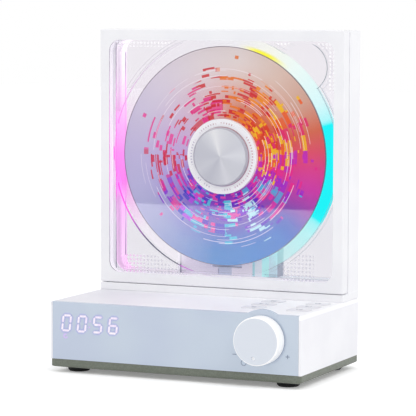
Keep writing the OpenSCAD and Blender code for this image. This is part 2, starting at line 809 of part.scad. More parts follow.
// Pressed chassis that carries the spindle motor, the rails and the sled's drive
module mechanism_chassis() {
    color("#c3c6cc") difference() {
        union() {
            to_back(chassis_y, chassis_t) difference() {
                translate([disc_x, disc_z]) {
                    circle(chassis_r, $fn = 96);
                    translate([-chassis_r, -disc_z + column_z + column_wall + 0.3])
                        square([2 * chassis_r, disc_z - column_z - column_wall - 0.3]);
                }
                translate([disc_x - slot_half, sled_low - 0.3])
                    square([2 * slot_half, sled_z0 + sled_h + 0.6 - sled_low]);
            }
            for (s = [-1, 1], z = [rail_z0, rail_z1 - rail_lug_h])
                block([disc_x + s * rail_x - rail_lug, chassis_back - 0.4, z],
                      [disc_x + s * rail_x + rail_lug, rail_y + rail_r + 0.6, z + rail_lug_h]);
            block([disc_x + screw_x - 1.9, chassis_back - 0.4, screw_z0 - screw_lug_h],
                  [disc_x + screw_x + 1.9, rail_y + rail_r + 0.6, screw_z0]);
        }
        to_back(chassis_y - 1, chassis_t + 2) {
            at_dampers() circle(damper_neck_r + 0.05);
            translate([disc_x, disc_z]) circle(4);
            for (a = [30 : 120 : 270]) translate([disc_x, disc_z]) rotate(a) translate([8, 0]) circle(1.1);
        }
        for (s = [-1, 1]) translate([disc_x + s * rail_x, rail_y, rail_z0 + 0.3]) cylinder(r = rail_r + 0.02, h = rail_z1 - rail_z0);
        translate([disc_x + screw_x, rail_y, screw_z0 - 1]) cylinder(r = rail_r * 0.5 + run_gap, h = 4);
    }
}

// Rubber dampers: two flanges and the neck that the chassis sits in
module damper_grommets() {
    y0 = chassis_y - damper_front;
    color("#3a3c40") difference() {
        union() {
            to_back(y0, damper_front) at_dampers() circle(damper_r);
            to_back(y0, damper_front + chassis_t + damper_rear) at_dampers() circle(damper_neck_r);
            to_back(chassis_back, damper_rear) at_dampers() circle(damper_r);
        }
        to_back(y0 - 1, 10) at_dampers() circle(post_r - 0.4);
    }
}

// Shoulder screws that hold the dampers on their posts
module mechanism_screws() {
    y0 = chassis_y - damper_front - damper_head_t;
    color("#9a9da1") {
        to_back(y0, damper_head_t) at_dampers() circle(2.5);
        to_back(y0, damper_head_t + damper_front + chassis_t + damper_rear + 1.4) at_dampers() circle(1);
    }
}

// Flat motor behind the chassis, with the bearing of the spindle in front
module spindle_motor() {
    color("#a7abb2") difference() {
        union() {
            rod_y(disc_x, chassis_back, disc_z, motor_r, motor_t);
            rod_y(disc_x, chassis_y - 1.2, disc_z, 3.9, chassis_t + 1.2 + 0.5);
        }
        rod_y(disc_x, chassis_y - 2, disc_z, 1 + run_gap, chassis_t + motor_t + 1.6);
    }
}

module sled_rails() {
    color("#d5d8dc") for (s = [-1, 1])
        translate([disc_x + s * rail_x, rail_y, rail_z0 + 0.4]) cylinder(r = rail_r, h = rail_z1 - rail_z0 - 0.5);
}

// Small motor above the lead screw
module sled_motor() {
    color("#a7abb2") translate([disc_x + screw_x, rail_y + 0.3, 0]) difference() {
        intersection() {
            translate([0, 0, screw_z1]) cylinder(r = sled_motor_r, h = sled_motor_h);
            block([-9, chassis_back - rail_y - 0.3, screw_z1], [9, column_back - column_wall - 0.2 - rail_y - 0.3, screw_z1 + 20]);
        }
        translate([0, -0.3, screw_z1 - 1]) cylinder(r = rail_r * 0.5 + run_gap, h = 5);
    }
}

// Flat cable from the chassis down into the base
module flex_cable() {
    y = column_front + 0.5;
    color("#5b616c") {
        block([flex_x, y, board_top + 3], [flex_x + flex_w, y + 0.4, flex_top]);
        block([flex_x, y + 0.4, flex_top - 0.4], [flex_x + flex_w, chassis_y, flex_top]);
        block([flex_x - 0.6, y - 2, board_top], [flex_x + flex_w + 0.6, y + 1.4, board_top + 3]);
    }
}

// Door: a frame with a rounded hinge edge and a pocket for the pane
module door_frame() {
    color("#f2f2f5") difference() {
        intersection() {
            translate([0, 0, door_z]) linear_extrude(total_h - door_z) door_plan();
            soft_block([-x_side, y_door, door_z], [x_side, y_door_back + 5, total_h], edge_r);
        }
        to_back(y_door - 1, door_t + 2) window_outline();
        to_back(pane_y, door_t) window_outline(pane_over + fit_gap);
        hinge_pocket();
        translate([hinge_x, hinge_y, door_z - 1]) cylinder(r = pin_r + run_gap, h = 8);
        translate([hinge_x, hinge_y, ear_z - 5.6]) cylinder(r = pin_r + run_gap, h = 6);
        for (s = [-1, 1]) rod_y(magnet_x, y_door_back - magnet_t, disc_z + s * magnet_rise, magnet_r + fit_gap, magnet_t + 1);
    }
}

// The door seen from above: rounded about the hinge behind its left edge
module door_plan() {
    r = door_t / 2;
    e = 0.6;
    difference() {
        translate([-x_side, y_door]) square([body_w, door_t]);
        translate([-x_side - 1, hinge_y]) square([r + 1, r + 1]);
        translate([x_side - e, y_door - 1]) square([e + 1, e + 1]);
    }
    intersection() {
        translate([hinge_x, hinge_y]) circle(r);
        translate([-x_side, hinge_y - 0.1]) square([r + 0.1, r + 0.1]);
    }
    translate([x_side - e, y_door + e]) circle(e, $fn = 48);
}

module door_window() {
    color("#e9e9f2", 0.35) to_back(pane_y, pane_t) window_outline(pane_over);
}

module door_magnets() {
    color("#c9ccd1") for (s = [-1, 1])
        rod_y(magnet_x, y_door_back - magnet_t, disc_z + s * magnet_rise, magnet_r, magnet_t);
}

// Flat ring along Y about the disc's axis, or a full round plate where the bore is 0
module plate_y(y0, t, r, bore = 0) {
    difference() {
        rod_y(disc_x, y0, disc_z, r, t, $fn = 128);
        if (bore > 0) rod_y(disc_x, y0 - 1, disc_z, bore, t + 2);
    }
}

module disc() { color("#c8b4dc") plate_y(disc_y, disc_t, disc_r, disc_bore_r); }

// Clamp: a white ring on the disc, a metal cap in front and a ring magnet between them
module clamp_ring() {
    color("#eeeef3") difference() {
        plate_y(disc_y - ring_t, ring_t, clamp_r, disc_bore_r + 0.1);
        rod_y(disc_x, disc_y - ring_t - 1, disc_z, 12.1, 2.2);
    }
}

module clamp_cap() {
    color("#c9ccd3") translate([disc_x, cap_y + cap_t, disc_z]) rotate([90, 0, 0]) rotate_extrude($fn = 128)
        polygon([[0, 0.4], [disc_bore_r, 0.4], [disc_bore_r, 0], [cap_r, 0], [cap_r, cap_t - 0.5],
            [cap_r - 0.5, cap_t], [0, cap_t]]);
}

module clamp_magnet() {
    color("#8d9198") plate_y(disc_y - ring_t, 1.2, 12, disc_bore_r + 0.3);
}

// Turntable: the boss that centres the disc and the flange that carries it
module turntable() {
    color("#34373c") difference() {
        union() {
            plate_y(table_y, table_t, table_r);
            rod_y(disc_x, disc_y - 1.6, disc_z, disc_bore_r - run_gap, disc_t + 2);
            rod_y(disc_x, table_y, disc_z, 3, table_t + 2);
        }
        rod_y(disc_x, disc_y, disc_z, 1 + 0.02, 10);
    }
}

module spindle_shaft() {
    color("#d5d8dc") rod_y(disc_x, disc_y + 0.1, disc_z, 1, chassis_back + motor_t - 0.8 - disc_y);
}

// Laser sled: body between the rails, a bearing on the left rail, a fork on the right, a nut
module laser_sled() {
    y1 = rail_y + rail_r + 0.8;
    color("#4a4e55") difference() {
        union() {
            block([disc_x - sled_w / 2, sled_y + 1.6, sled_z0], [disc_x + sled_w / 2, y1, sled_z0 + sled_h]);
            block([disc_x - 8, sled_y, sled_z0], [disc_x + 8, sled_y + 2, sled_z0 + sled_h - 3]);
            for (z = [sled_z0, sled_z0 + sled_h - 4])
                block([disc_x - rail_x - rail_lug, chassis_back - 0.6, z], [disc_x - sled_w / 2 + 1, y1, z + 4]);
            block([disc_x + sled_w / 2 - 1, chassis_back - 0.6, sled_z0 + 4.5],
                  [disc_x + rail_x + rail_lug, y1, sled_z0 + 8.5]);
            block([disc_x + sled_w / 2 - 1, chassis_back + 0.2, sled_z0 + sled_h - nut_h - 0.5],
                  [disc_x + screw_x + 2.2, y1, sled_z0 + sled_h - 0.5]);
        }
        for (s = [-1, 1]) translate([disc_x + s * rail_x, rail_y, sled_z0 - 1]) cylinder(r = rail_r + 0.06, h = sled_h + 2);
        translate([disc_x + screw_x, rail_y, sled_z0 - 1]) cylinder(r = rail_r + 0.06, h = sled_h + 2);
        rod_y(disc_x, sled_y - 2, lens_z, 3.1, 4);
    }
}

// Lens in its holder
module laser_lens() {
    color("#6f8fb8") {
        rod_y(disc_x, sled_y - 1.6, lens_z, 3, 3.4);
        translate([disc_x, sled_y - 1.6, lens_z]) rotate([90, 0, 0]) intersection() {
            translate([0, 0, -3.2]) sphere(r = 3.8, $fn = 48);
            translate([0, 0, -0.5]) cylinder(r = 2.2, h = 2);
        }
    }
}

module lead_screw() {
    color("#c2a25a") translate([disc_x + screw_x, rail_y, 0]) {
        translate([0, 0, screw_z0 + 0.2]) cylinder(r = rail_r, h = screw_z1 - screw_z0 - 0.4);
        translate([0, 0, screw_z0 - 0.9]) cylinder(r = rail_r * 0.5, h = screw_z1 - screw_z0 + 4);
    }
}

// Knob: a hollow cap with a rounded edge, a boss for the shaft and a pointer dimple
module volume_knob() {
    e = 1;
    depth = knob_out - move_gap;
    edge = [for (a = [0 : 15 : 90]) [knob_r - e + e * cos(a), depth - e + e * sin(a)]];
    color("#e3e8f0") difference() {
        translate([knob_x, y_front - move_gap, knob_z]) rotate([90, 0, 0]) rotate_extrude($fn = 128)
            polygon(concat([[shaft_r + 0.02, 0], [shaft_r + 2, 0], [shaft_r + 2, depth - 2.4],
                [knob_r - 1.8, depth - 2.4], [knob_r - 1.8, 0], [knob_r, 0]], edge,
                [[0, depth], [0, depth - 2], [shaft_r + 0.02, depth - 2]]));
        translate([knob_x - 1.3, knob_y, knob_z - 8.8]) sphere(r = 1.1, $fn = 32);
    }
}

module knob_shaft() {
    color("#d5d8dc") rod_y(knob_x, knob_y + 2.1, knob_z, shaft_r, fascia_back + 5 - knob_y - 2.1);
}

bottom_plate();
rubber_feet();
bottom_screws();
base_housing();
top_panel();
fascia();
display_module();
potentiometer();
main_board();
battery_pack();
speaker_baskets();
speaker_cones();
usb_port();
audio_jack();
switch_body();
key_board();
key_switches();
rear_case();
hinge_pins();
case_magnets();
rear_cover();
disc_tray();
light_bar_left();
light_bar_right();
mechanism_cover();
mechanism_front();
mechanism_chassis();
damper_grommets();
mechanism_screws();
spindle_motor();
sled_rails();
sled_motor();
flex_cable();
door_frame();
door_window();
door_magnets();
disc();
clamp_ring();
clamp_cap();
clamp_magnet();
turntable();
spindle_shaft();
laser_sled();
laser_lens();
lead_screw();
volume_knob();
knob_shaft();
key_play();
key_stop();
key_previous();
key_next();
key_mode();
key_repeat();
mode_switch();
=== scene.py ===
"""Looks of a disc player: a see-through upright with a spinning disc on a low base."""

import math

import bpy
from mathutils import Matrix, Vector


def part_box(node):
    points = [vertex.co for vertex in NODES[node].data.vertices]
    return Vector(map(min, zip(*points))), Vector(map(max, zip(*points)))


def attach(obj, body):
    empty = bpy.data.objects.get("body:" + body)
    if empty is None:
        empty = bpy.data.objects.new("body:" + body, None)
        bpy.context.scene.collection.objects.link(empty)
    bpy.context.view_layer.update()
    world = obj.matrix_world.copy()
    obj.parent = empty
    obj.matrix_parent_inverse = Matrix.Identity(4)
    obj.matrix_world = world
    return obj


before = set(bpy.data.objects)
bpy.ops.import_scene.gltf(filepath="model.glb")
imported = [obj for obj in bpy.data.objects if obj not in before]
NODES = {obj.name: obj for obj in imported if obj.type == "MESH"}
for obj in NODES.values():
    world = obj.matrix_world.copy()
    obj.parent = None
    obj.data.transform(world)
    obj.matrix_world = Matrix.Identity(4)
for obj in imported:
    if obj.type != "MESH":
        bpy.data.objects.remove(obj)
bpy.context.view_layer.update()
MM = 0.001


# Small helpers


def linear(code, alpha=1.0):
    """An sRGB hex colour as linear red, green, blue and alpha."""
    parts = [int(code[i : i + 2], 16) / 255 for i in (1, 3, 5)]
    light = [v / 12.92 if v <= 0.04045 else ((v + 0.055) / 1.055) ** 2.4 for v in parts]
    return (*light, alpha)


def add(tree, kind, inputs=None, **settings):
    """Adds a node to a tree; each input takes a value or the socket that feeds it."""
    node = tree.nodes.new("ShaderNode" + kind)
    for name, value in settings.items():
        setattr(node, name, value)
    for name, value in (inputs or {}).items():
        socket = node.inputs[name]
        if isinstance(value, bpy.types.NodeSocket):
            tree.links.new(value, socket)
        else:
            socket.default_value = value
    return node


def new_material(name):
    """An empty node material and its tree."""
    made = bpy.data.materials.new(name)
    made.use_nodes = True
    made.node_tree.nodes.clear()
    return made, made.node_tree


def output(tree, shader):
    add(tree, "OutputMaterial", {"Surface": shader})


def place(tree):
    """The point on the surface, in metres, in the object's own frame at rest."""
    return add(tree, "TexCoord").outputs["Object"]


def maths(tree, operation, *values):
    """One step of arithmetic on sockets or numbers."""
    return add(tree, "Math", dict(enumerate(values)), operation=operation).outputs[0]


def step(tree, value, low, high, start=0.0, end=1.0):
    """A smooth rise from start to end while value goes from low to high."""
    inputs = {"Value": value, "From Min": low, "From Max": high, "To Min": start, "To Max": end}
    return add(tree, "MapRange", inputs, interpolation_type="SMOOTHSTEP").outputs["Result"]


def step_straight(tree, value, low, high):
    """A straight rise from 0 to 1 while value goes from low to high."""
    return add(tree, "MapRange", {"Value": value, "From Min": low, "From Max": high}).outputs["Result"]


def band(tree, value, low, high, soft):
    """1 between low and high, with soft edges."""
    rise = step(tree, value, low - soft, low + soft)
    fall = step(tree, value, high - soft, high + soft, 1.0, 0.0)
    return maths(tree, "MULTIPLY", rise, fall)


def blend(tree, factor, first, second):
    """A colour between two others."""
    inputs = {"Factor": factor, "A": first, "B": second}
    mixed = tree.nodes.new("ShaderNodeMix")
    mixed.data_type = "RGBA"
    sockets = {"Factor": mixed.inputs[0], "A": mixed.inputs[6], "B": mixed.inputs[7]}
    for name, value in inputs.items():
        if isinstance(value, bpy.types.NodeSocket):
            tree.links.new(value, sockets[name])
        else:
            sockets[name].default_value = value
    return mixed.outputs[2]


def ramp(tree, factor, stops, interpolation="LINEAR"):
    """A colour ramp from a list of places and colours."""
    made = add(tree, "ValToRGB", {"Fac": factor})
    made.color_ramp.interpolation = interpolation
    elements = made.color_ramp.elements
    while len(elements) > 1:
        elements.remove(elements[-1])
    elements[0].position, elements[0].color = stops[0]
    for position, colour in stops[1:]:
        elements.new(position).color = colour
    return made.outputs["Color"], made.outputs["Alpha"]


def noise(tree, size, detail=2.0, vector=None):
    """Noise whose grain is size metres across."""
    inputs = {"Vector": vector or place(tree), "Scale": 1 / size, "Detail": detail}
    return add(tree, "TexNoise", inputs).outputs["Fac"]


def near(tree, value, middle, half, soft=0.06 * MM):
    """1 where value lies within half of middle."""
    return band(tree, value, middle - half, middle + half, soft)


def every(tree, *masks):
    """1 where all the masks are 1."""
    joined = masks[0]
    for mask in masks[1:]:
        joined = maths(tree, "MULTIPLY", joined, mask)
    return joined


def either(tree, *masks):
    """1 where any of the masks is 1."""
    joined = masks[0]
    for mask in masks[1:]:
        joined = maths(tree, "MAXIMUM", joined, mask)
    return joined


def length(tree, across, up):
    """Length of a line from its two steps."""
    squares = [maths(tree, "MULTIPLY", side, side) for side in (across, up)]
    return maths(tree, "SQRT", maths(tree, "ADD", *squares))


def from_point(tree, axes, x, z):
    """Distance from a point, in a plane that faces the front."""
    return length(tree, maths(tree, "SUBTRACT", axes["X"], x), maths(tree, "SUBTRACT", axes["Z"], z))


def bump(tree, height, depth, strength=1.0):
    """A surface relief of depth metres."""
    inputs = {"Height": height, "Distance": depth, "Strength": strength}
    return add(tree, "Bump", inputs).outputs["Normal"]


# Finishes

# A spark-eroded mould leaves grain near 0.05 mm; it is drawn coarser, so that it shows
GRAIN = 0.9 * MM
# Slow waves in the colour of a large moulding, about as long as its ribs stand apart
WAVINESS = 28 * MM


def moulded_plastic(name, light, dark, roughness, grain=GRAIN, depth=0.012 * MM, spill=None):
    """ABS from a spark-eroded mould: a fine even grain that softens every highlight."""
    made, tree = new_material(name)
    cloud = noise(tree, WAVINESS)
    fine = noise(tree, grain, 3.0)
    colour = blend(tree, step(tree, cloud, 0.35, 0.65), linear(dark), linear(light))
    rough = step(tree, fine, 0.2, 0.8, roughness - 0.05, roughness + 0.05)
    inputs = {"Base Color": colour, "Roughness": rough, "IOR": 1.53, "Normal": bump(tree, fine, depth)}
    # spill, where given, adds painted light and shade: emission and a change of colour
    if spill:
        inputs.update(spill(tree, colour))
    output(tree, add(tree, "BsdfPrincipled", inputs).outputs[0])
    return made


def knob_painted_shadow(tree, colour):
    """Painted shadow: a narrow shade beside the knob, where its rim keeps the light off the panel."""
    axes = add(tree, "SeparateXYZ", {"Vector": place(tree)}).outputs
    low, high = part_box("volume_knob")
    radius = from_point(tree, axes, (low.x + high.x) / 2, (low.z + high.z) / 2)
    edge = (high.x - low.x) / 2
    # Painted shadow: a darker blue-grey band just outside the knob's rim, on its right side
    painted_shade_and_reflection = step(tree, radius, edge, edge + 1.6 * MM, 0.55, 0.0)
    painted_shade_and_reflection = every(tree, painted_shade_and_reflection, step(tree, axes["X"], (low.x + high.x) / 2, high.x - 2 * MM))
    return {"Base Color": blend(tree, painted_shade_and_reflection, colour, linear("#8797b4"))}


def tinted_panel(name, light, dark, shade=None):
    """Polycarbonate printed on its back: an even tint under a glossy clear coat."""
    made, tree = new_material(name)
    cloud = noise(tree, 46 * MM)
    speck = noise(tree, 0.5 * MM, 1.0)
    colour = blend(tree, step(tree, cloud, 0.3, 0.7), linear(dark), linear(light))
    colour = blend(tree, step(tree, speck, 0.5, 0.8, 0.0, 0.04), colour, linear("#ffffff"))
    inputs = {"Base Color": colour, "Roughness": 0.38, "IOR": 1.58}
    inputs.update({"Coat Weight": 0.35, "Coat Roughness": 0.12})
    # shade, where given, adds painted shade to the colour, such as the painted shadow beside the knob
    if shade:
        inputs.update(shade(tree, colour))
    output(tree, add(tree, "BsdfPrincipled", inputs).outputs[0])
    return made


def painted_plate(name, light, dark):
    """Satin paint on a moulding: a fine orange peel and a slight speckle."""
    made, tree = new_material(name)
    peel = noise(tree, 1.4 * MM, 2.0)
    speck = noise(tree, 0.6 * MM, 1.0)
    colour = blend(tree, step(tree, speck, 0.35, 0.7), linear(dark), linear(light))
    rough = step(tree, peel, 0.3, 0.7, 0.4, 0.5)
    inputs = {"Base Color": colour, "Roughness": rough, "Normal": bump(tree, peel, 0.02 * MM)}
    output(tree, add(tree, "BsdfPrincipled", inputs).outputs[0])
    return made


def rubber(name, light, dark):
    """Moulded rubber: dark, dull, with a fine talc bloom in its pores."""
    made, tree = new_material(name)
    pores = noise(tree, 0.7 * MM, 4.0)
    colour = blend(tree, step(tree, pores, 0.4, 0.75), linear(dark), linear(light))
    inputs = {"Base Color": colour, "Roughness": 0.78, "Normal": bump(tree, pores, 0.03 * MM)}
    output(tree, add(tree, "BsdfPrincipled", inputs).outputs[0])
    return made


def brushed_metal(name, light, dark, roughness, stretch, grain=0.35 * MM):
    """Rolled or brushed metal: fine lines along the direction in which stretch is small."""
    made, tree = new_material(name)
    lines = add(tree, "Mapping", {"Vector": place(tree), "Scale": stretch}).outputs[0]
    scratch = noise(tree, grain, 3.0, lines)
    colour = blend(tree, step(tree, scratch, 0.3, 0.7), linear(dark), linear(light))
    rough = step(tree, scratch, 0.3, 0.7, roughness - 0.06, roughness + 0.06)
    inputs = {"Base Color": colour, "Metallic": 1.0, "Roughness": rough}
    inputs["Normal"] = bump(tree, scratch, 0.004 * MM)
    output(tree, add(tree, "BsdfPrincipled", inputs).outputs[0])
    return made


def plated_metal(name, colour, roughness):
    """Nickel or chrome plate: bright, with faint stains where it was handled."""
    made, tree = new_material(name)
    stain = noise(tree, 6 * MM, 3.0)
    base = blend(tree, step(tree, stain, 0.45, 0.75, 0.0, 0.25), linear(colour), linear("#8d9094"))
    rough = step(tree, stain, 0.3, 0.7, roughness, roughness + 0.1)
    inputs = {"Base Color": base, "Metallic": 1.0, "Roughness": rough}
    output(tree, add(tree, "BsdfPrincipled", inputs).outputs[0])
    return made


def circuit_board(name):
    """Glass-fibre board under green mask: copper tracks show through as lighter lines."""
    made, tree = new_material(name)
    waves = {"Vector": place(tree), "Scale": 160.0, "Distortion": 6.0, "Detail": 1.0}
    lines = add(tree, "TexWave", waves).outputs["Fac"]
    colour = blend(tree, step(tree, lines, 0.6, 0.75), linear("#1f5a3b"), linear("#3c7d55"))
    inputs = {"Base Color": colour, "Roughness": 0.35, "Normal": bump(tree, lines, 0.03 * MM)}
    output(tree, add(tree, "BsdfPrincipled", inputs).outputs[0])
    return made


# Clear parts

DISC_LOW, DISC_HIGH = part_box("disc")
DISC = (DISC_LOW + DISC_HIGH) / 2
DISC_R = (DISC_HIGH.x - DISC_LOW.x) / 2
RECESS_R = DISC_R + 6.5 * MM
LOBE_R = 13.4 * MM
LOBE = (DISC.x + 47 * MM, DISC.z + 48.9 * MM)
TRAY_LOW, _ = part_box("disc_tray")
LAND_Y = TRAY_LOW.y
PANE_LOW, PANE_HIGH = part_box("door_window")
PANE_OVER = 1.4 * MM
WINDOW_LOW = (PANE_LOW.x + PANE_OVER, PANE_LOW.z + PANE_OVER)
WINDOW_HIGH = (PANE_HIGH.x - PANE_OVER, PANE_HIGH.z - PANE_OVER)
DOOR_LOW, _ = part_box("door_frame")
_, BAR_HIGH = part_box("light_bar_left")
WINDOW_R = 6.2 * MM
SILL_TOP = 42.1 * MM
COVER_BACK = 42.35 * MM

# Set below acrylic's own 1.49, so that the room's mirror in the sheets is as faint as it looks
PANE_IOR = 1.2
SHEET_IOR = 1.1

# Strength of painted glow, where coloured light is painted as emission on a surface, 1 as bright as its
# colour
REVEAL_GLOW = 0.25
DEEP_GLOW = 0.56
FRONT_GLOW = 0.2 * REVEAL_GLOW
GAP_GLOW = 0.03
CAVITY_GLOW = 0.6
MARK_GLOW = 0.25

DOT_PITCH = 2.15 * MM
DOT_R = 0.62 * MM
LIP_STEPS = (0.45 * MM, 2.3 * MM)


# Light in the edges: pink up the left, by height from the window's foot to its head
PINK_UP = [
    (0.0, "#f3c8ef"), (0.1, "#efc4ec"), (0.3, "#f2b4ee"), (0.36, "#fb8ff2"), (0.5, "#ff7af0"),
    (0.62, "#ff9cf2"), (0.72, "#fbc4f3"), (0.84, "#f7e2f6"), (1.0, "#f6edf6"),
]
# Thin edges that gather the light: grey at the ends, magenta along the middle
LINE_UP = [
    (0.0, "#4f4862"), (0.08, "#6e5f80"), (0.22, "#b9a9c4"), (0.3, "#c77fc8"), (0.34, "#ff4fe0"),
    (0.6, "#ff5ae4"), (0.68, "#f08fe2"), (0.8, "#d8a4d4"), (0.9, "#8d8496"), (1.0, "#a7a0b0"),
]


def up_window(tree, axes, stops):
    """A colour by height in the window, 0 at its foot and 1 at its head."""
    rise = maths(tree, "SUBTRACT", axes["Z"], WINDOW_LOW[1])
    share = maths(tree, "DIVIDE", rise, WINDOW_HIGH[1] - WINDOW_LOW[1])
    return ramp(tree, share, [(at, linear(code)) for at, code in stops])[0]


def past_window(tree, axes):
    """Distance outside the window's rounded outline, less than 0 inside it."""
    over = []
    for i, axis in enumerate(("X", "Z")):
        middle = (WINDOW_LOW[i] + WINDOW_HIGH[i]) / 2
        straight = (WINDOW_HIGH[i] - WINDOW_LOW[i]) / 2 - WINDOW_R
        out = maths(tree, "ABSOLUTE", maths(tree, "SUBTRACT", axes[axis], middle))
        over.append(maths(tree, "MAXIMUM", maths(tree, "SUBTRACT", out, straight), 0.0))
    return maths(tree, "SUBTRACT", length(tree, *over), WINDOW_R)


def reveal_spill(tree, colour):
    """Painted light: the light of the bars and the clear edges, painted as colour and emission on the
    white walls inside the window.
    """
    axes = add(tree, "SeparateXYZ", {"Vector": place(tree)}).outputs
    past = past_window(tree, axes)
    skin = DOOR_LOW.y + 0.12 * MM
    behind = step(tree, axes["Y"], skin, skin + 0.06 * MM)
    at_edge = step(tree, past, 0.2 * MM, 0.3 * MM, 1.0, 0.0)
    under_pane = step(tree, past, PANE_OVER + 0.35 * MM, PANE_OVER + 0.5 * MM, 1.0, 0.0)
    behind_pane = step(tree, axes["Y"], DOOR_LOW.y + 0.9 * MM, DOOR_LOW.y + 1.0 * MM)
    under_pane = every(tree, under_pane, behind_pane)
    inner = either(tree, every(tree, at_edge, behind), under_pane)
    left = step(tree, axes["X"], WINDOW_LOW[0] + 3 * MM, WINDOW_LOW[0] + 9 * MM, 1.0, 0.0)
    deep = every(tree, left, step(tree, axes["Y"], LAND_Y + 2.05 * MM, LAND_Y + 2.2 * MM))
    # Painted pink light deep on the left wall
    wall = blend(tree, deep, linear("#f3f0f6"), up_window(tree, axes, PINK_UP))
    # Painted light lines along the front of the left wall
    front = step(tree, axes["Y"], DOOR_LOW.y + 0.7 * MM, DOOR_LOW.y + 0.9 * MM, 1.0, 0.0)
    front = every(tree, left, front)
    wall = blend(tree, front, wall, up_window(tree, axes, LINE_UP))
    # Painted light in the gap over the sill
    gap = near(tree, axes["Z"], SILL_TOP + 0.2 * MM, 0.3 * MM)
    gap = every(tree, gap, step(tree, axes["Y"], DOOR_LOW.y + 0.4 * MM, DOOR_LOW.y + 0.5 * MM))
    dim = step(tree, front, 0.0, 1.0, REVEAL_GLOW, FRONT_GLOW)
    dim = either(tree, dim, maths(tree, "MULTIPLY", deep, DEEP_GLOW))
    strength = maths(tree, "MULTIPLY", inner, dim)
    strength = either(tree, strength, maths(tree, "MULTIPLY", gap, GAP_GLOW))
    # Painted light also tints the walls' own colour
    base = blend(tree, inner, colour, wall)
    return {"Base Color": base, "Emission Color": wall, "Emission Strength": strength}


def top_shade(tree, colour):
    """Painted shade: the top greys a little towards its left end, away from the key lamp, and a painted
    glow lifts its right part.
    """
    axes = add(tree, "SeparateXYZ", {"Vector": place(tree)}).outputs
    far = step(tree, axes["X"], -64 * MM, -8 * MM, 0.42, 0.0)
    # Painted light: a faint emission on the right part
    lift = step(tree, axes["X"], -40 * MM, 10 * MM, 0.0, 0.05)
    grey = blend(tree, far, colour, linear("#cfcfda"))
    return {"Base Color": grey, "Emission Color": grey, "Emission Strength": lift}


def cavity_spill(tree, colour):
    """Painted light: daylight through the clear tray, painted as emission on the inside of the column's
    back.
    """
    axes = add(tree, "SeparateXYZ", {"Vector": place(tree)}).outputs
    low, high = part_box("mechanism_cover")
    inside = near(tree, axes["Y"], COVER_BACK, 0.6 * MM)
    half = (high.x - low.x) / 2 - 1.2 * MM
    inside = every(tree, inside, near(tree, axes["X"], (low.x + high.x) / 2, half))
    strength = maths(tree, "MULTIPLY", inside, CAVITY_GLOW)
    return {"Base Color": colour, "Emission Color": linear("#b9bdce"), "Emission Strength": strength}


def glowing_bar(name, stops, base, strength):
    """Frosted light guide: its colour runs with its height and its back edge gathers a line."""
    made, tree = new_material(name)
    axes = add(tree, "SeparateXYZ", {"Vector": place(tree)}).outputs
    frost = noise(tree, 1.2 * MM, 2.0)
    lit = up_window(tree, axes, stops)
    edge = step(tree, axes["Y"], BAR_HIGH.y - 1.3 * MM, BAR_HIGH.y - 1.0 * MM, 0.0, 0.9)
    colour = blend(tree, edge, lit, up_window(tree, axes, base))
    inputs = {"Base Color": colour, "Roughness": 0.5, "Emission Color": colour}
    inputs["Emission Strength"] = step(tree, frost, 0.2, 0.8, strength * 0.92, strength)
    output(tree, add(tree, "BsdfPrincipled", inputs).outputs[0])
    return made


def clear_shader(tree, tint, ior, haze, edge_haze, haze_colour):
    """Clear plastic as a sheet: lamps shine through it, and only the eye sees its mirror and haze."""
    path = add(tree, "LightPath").outputs
    lamp_ray = maths(tree, "MAXIMUM", path["Is Shadow Ray"], path["Is Diffuse Ray"])
    seen = maths(tree, "SUBTRACT", 1.0, lamp_ray)
    colour = tint(tree) if callable(tint) else linear(tint)
    through = add(tree, "BsdfTransparent", {"Color": colour}).outputs[0]
    cloud = add(tree, "BsdfPrincipled", {"Base Color": linear(haze_colour), "Roughness": 0.4}).outputs[0]
    edge = add(tree, "LayerWeight", {"Blend": 0.25}).outputs["Facing"]
    amount = maths(tree, "MULTIPLY", step(tree, edge, 0.3, 1.0, haze, edge_haze), seen)
    body = add(tree, "MixShader", {0: amount, 1: through, 2: cloud}).outputs[0]
    gloss = add(tree, "BsdfGlossy", {"Color": linear("#ffffff"), "Roughness": 0.03}).outputs[0]
    # Only outer faces mirror: between inner ones a sheet that bends no light would trap it
    fresnel = add(tree, "Fresnel", {"IOR": ior}).outputs[0]
    outside = maths(tree, "SUBTRACT", 1.0, add(tree, "NewGeometry").outputs["Backfacing"])
    return add(tree, "MixShader", {0: every(tree, fresnel, seen, outside), 1: body, 2: gloss}).outputs[0]


def clear_sheet(name, tint, ior, haze, edge_haze, haze_colour):
    """Polished acrylic: nearly invisible face on, with a light mirror of the room."""
    made, tree = new_material(name)
    output(tree, clear_shader(tree, tint, ior, haze, edge_haze, haze_colour))
    return made


def fading_tint(tree):
    """A faint tint that darkens towards the sheet's foot."""
    axes = add(tree, "SeparateXYZ", {"Vector": place(tree)}).outputs
    return blend(tree, step(tree, axes["Z"], 60 * MM, 160 * MM), linear("#f1f0f2"), linear("#fcfafc"))


def around_disc(tree):
    """Distance from the disc's axis in metres and the angle about it, 0 at the left and rising to 1."""
    axes = add(tree, "SeparateXYZ", {"Vector": place(tree)}).outputs
    x = maths(tree, "SUBTRACT", axes["X"], DISC.x)
    z = maths(tree, "SUBTRACT", axes["Z"], DISC.z)
    turn = maths(tree, "MULTIPLY_ADD", maths(tree, "ARCTAN2", z, x), 1 / math.tau, 0.5)
    return axes, length(tree, x, z), turn


def turn_of(degrees):
    """Place of an angle on a ramp that starts and ends at the left; 0 degrees points right."""
    return (degrees + 180) / 360


def dots(tree, axes, pitch, size):
    """Round dots in rows, pitch apart."""
    cells = []
    for axis in ("X", "Z"):
        cell = maths(tree, "FRACT", maths(tree, "DIVIDE", axes[axis], pitch))
        cells.append(maths(tree, "MULTIPLY", maths(tree, "SUBTRACT", cell, 0.5), pitch))
    return step(tree, length(tree, *cells), size * 0.7, size * 1.3, 1.0, 0.0)


def by_angle(tree, turn, stops):
    """A colour and an amount by the angle about the disc's axis, in degrees from the right."""
    return ramp(tree, turn, [(turn_of(angle), linear(code, amount)) for angle, code, amount in stops])
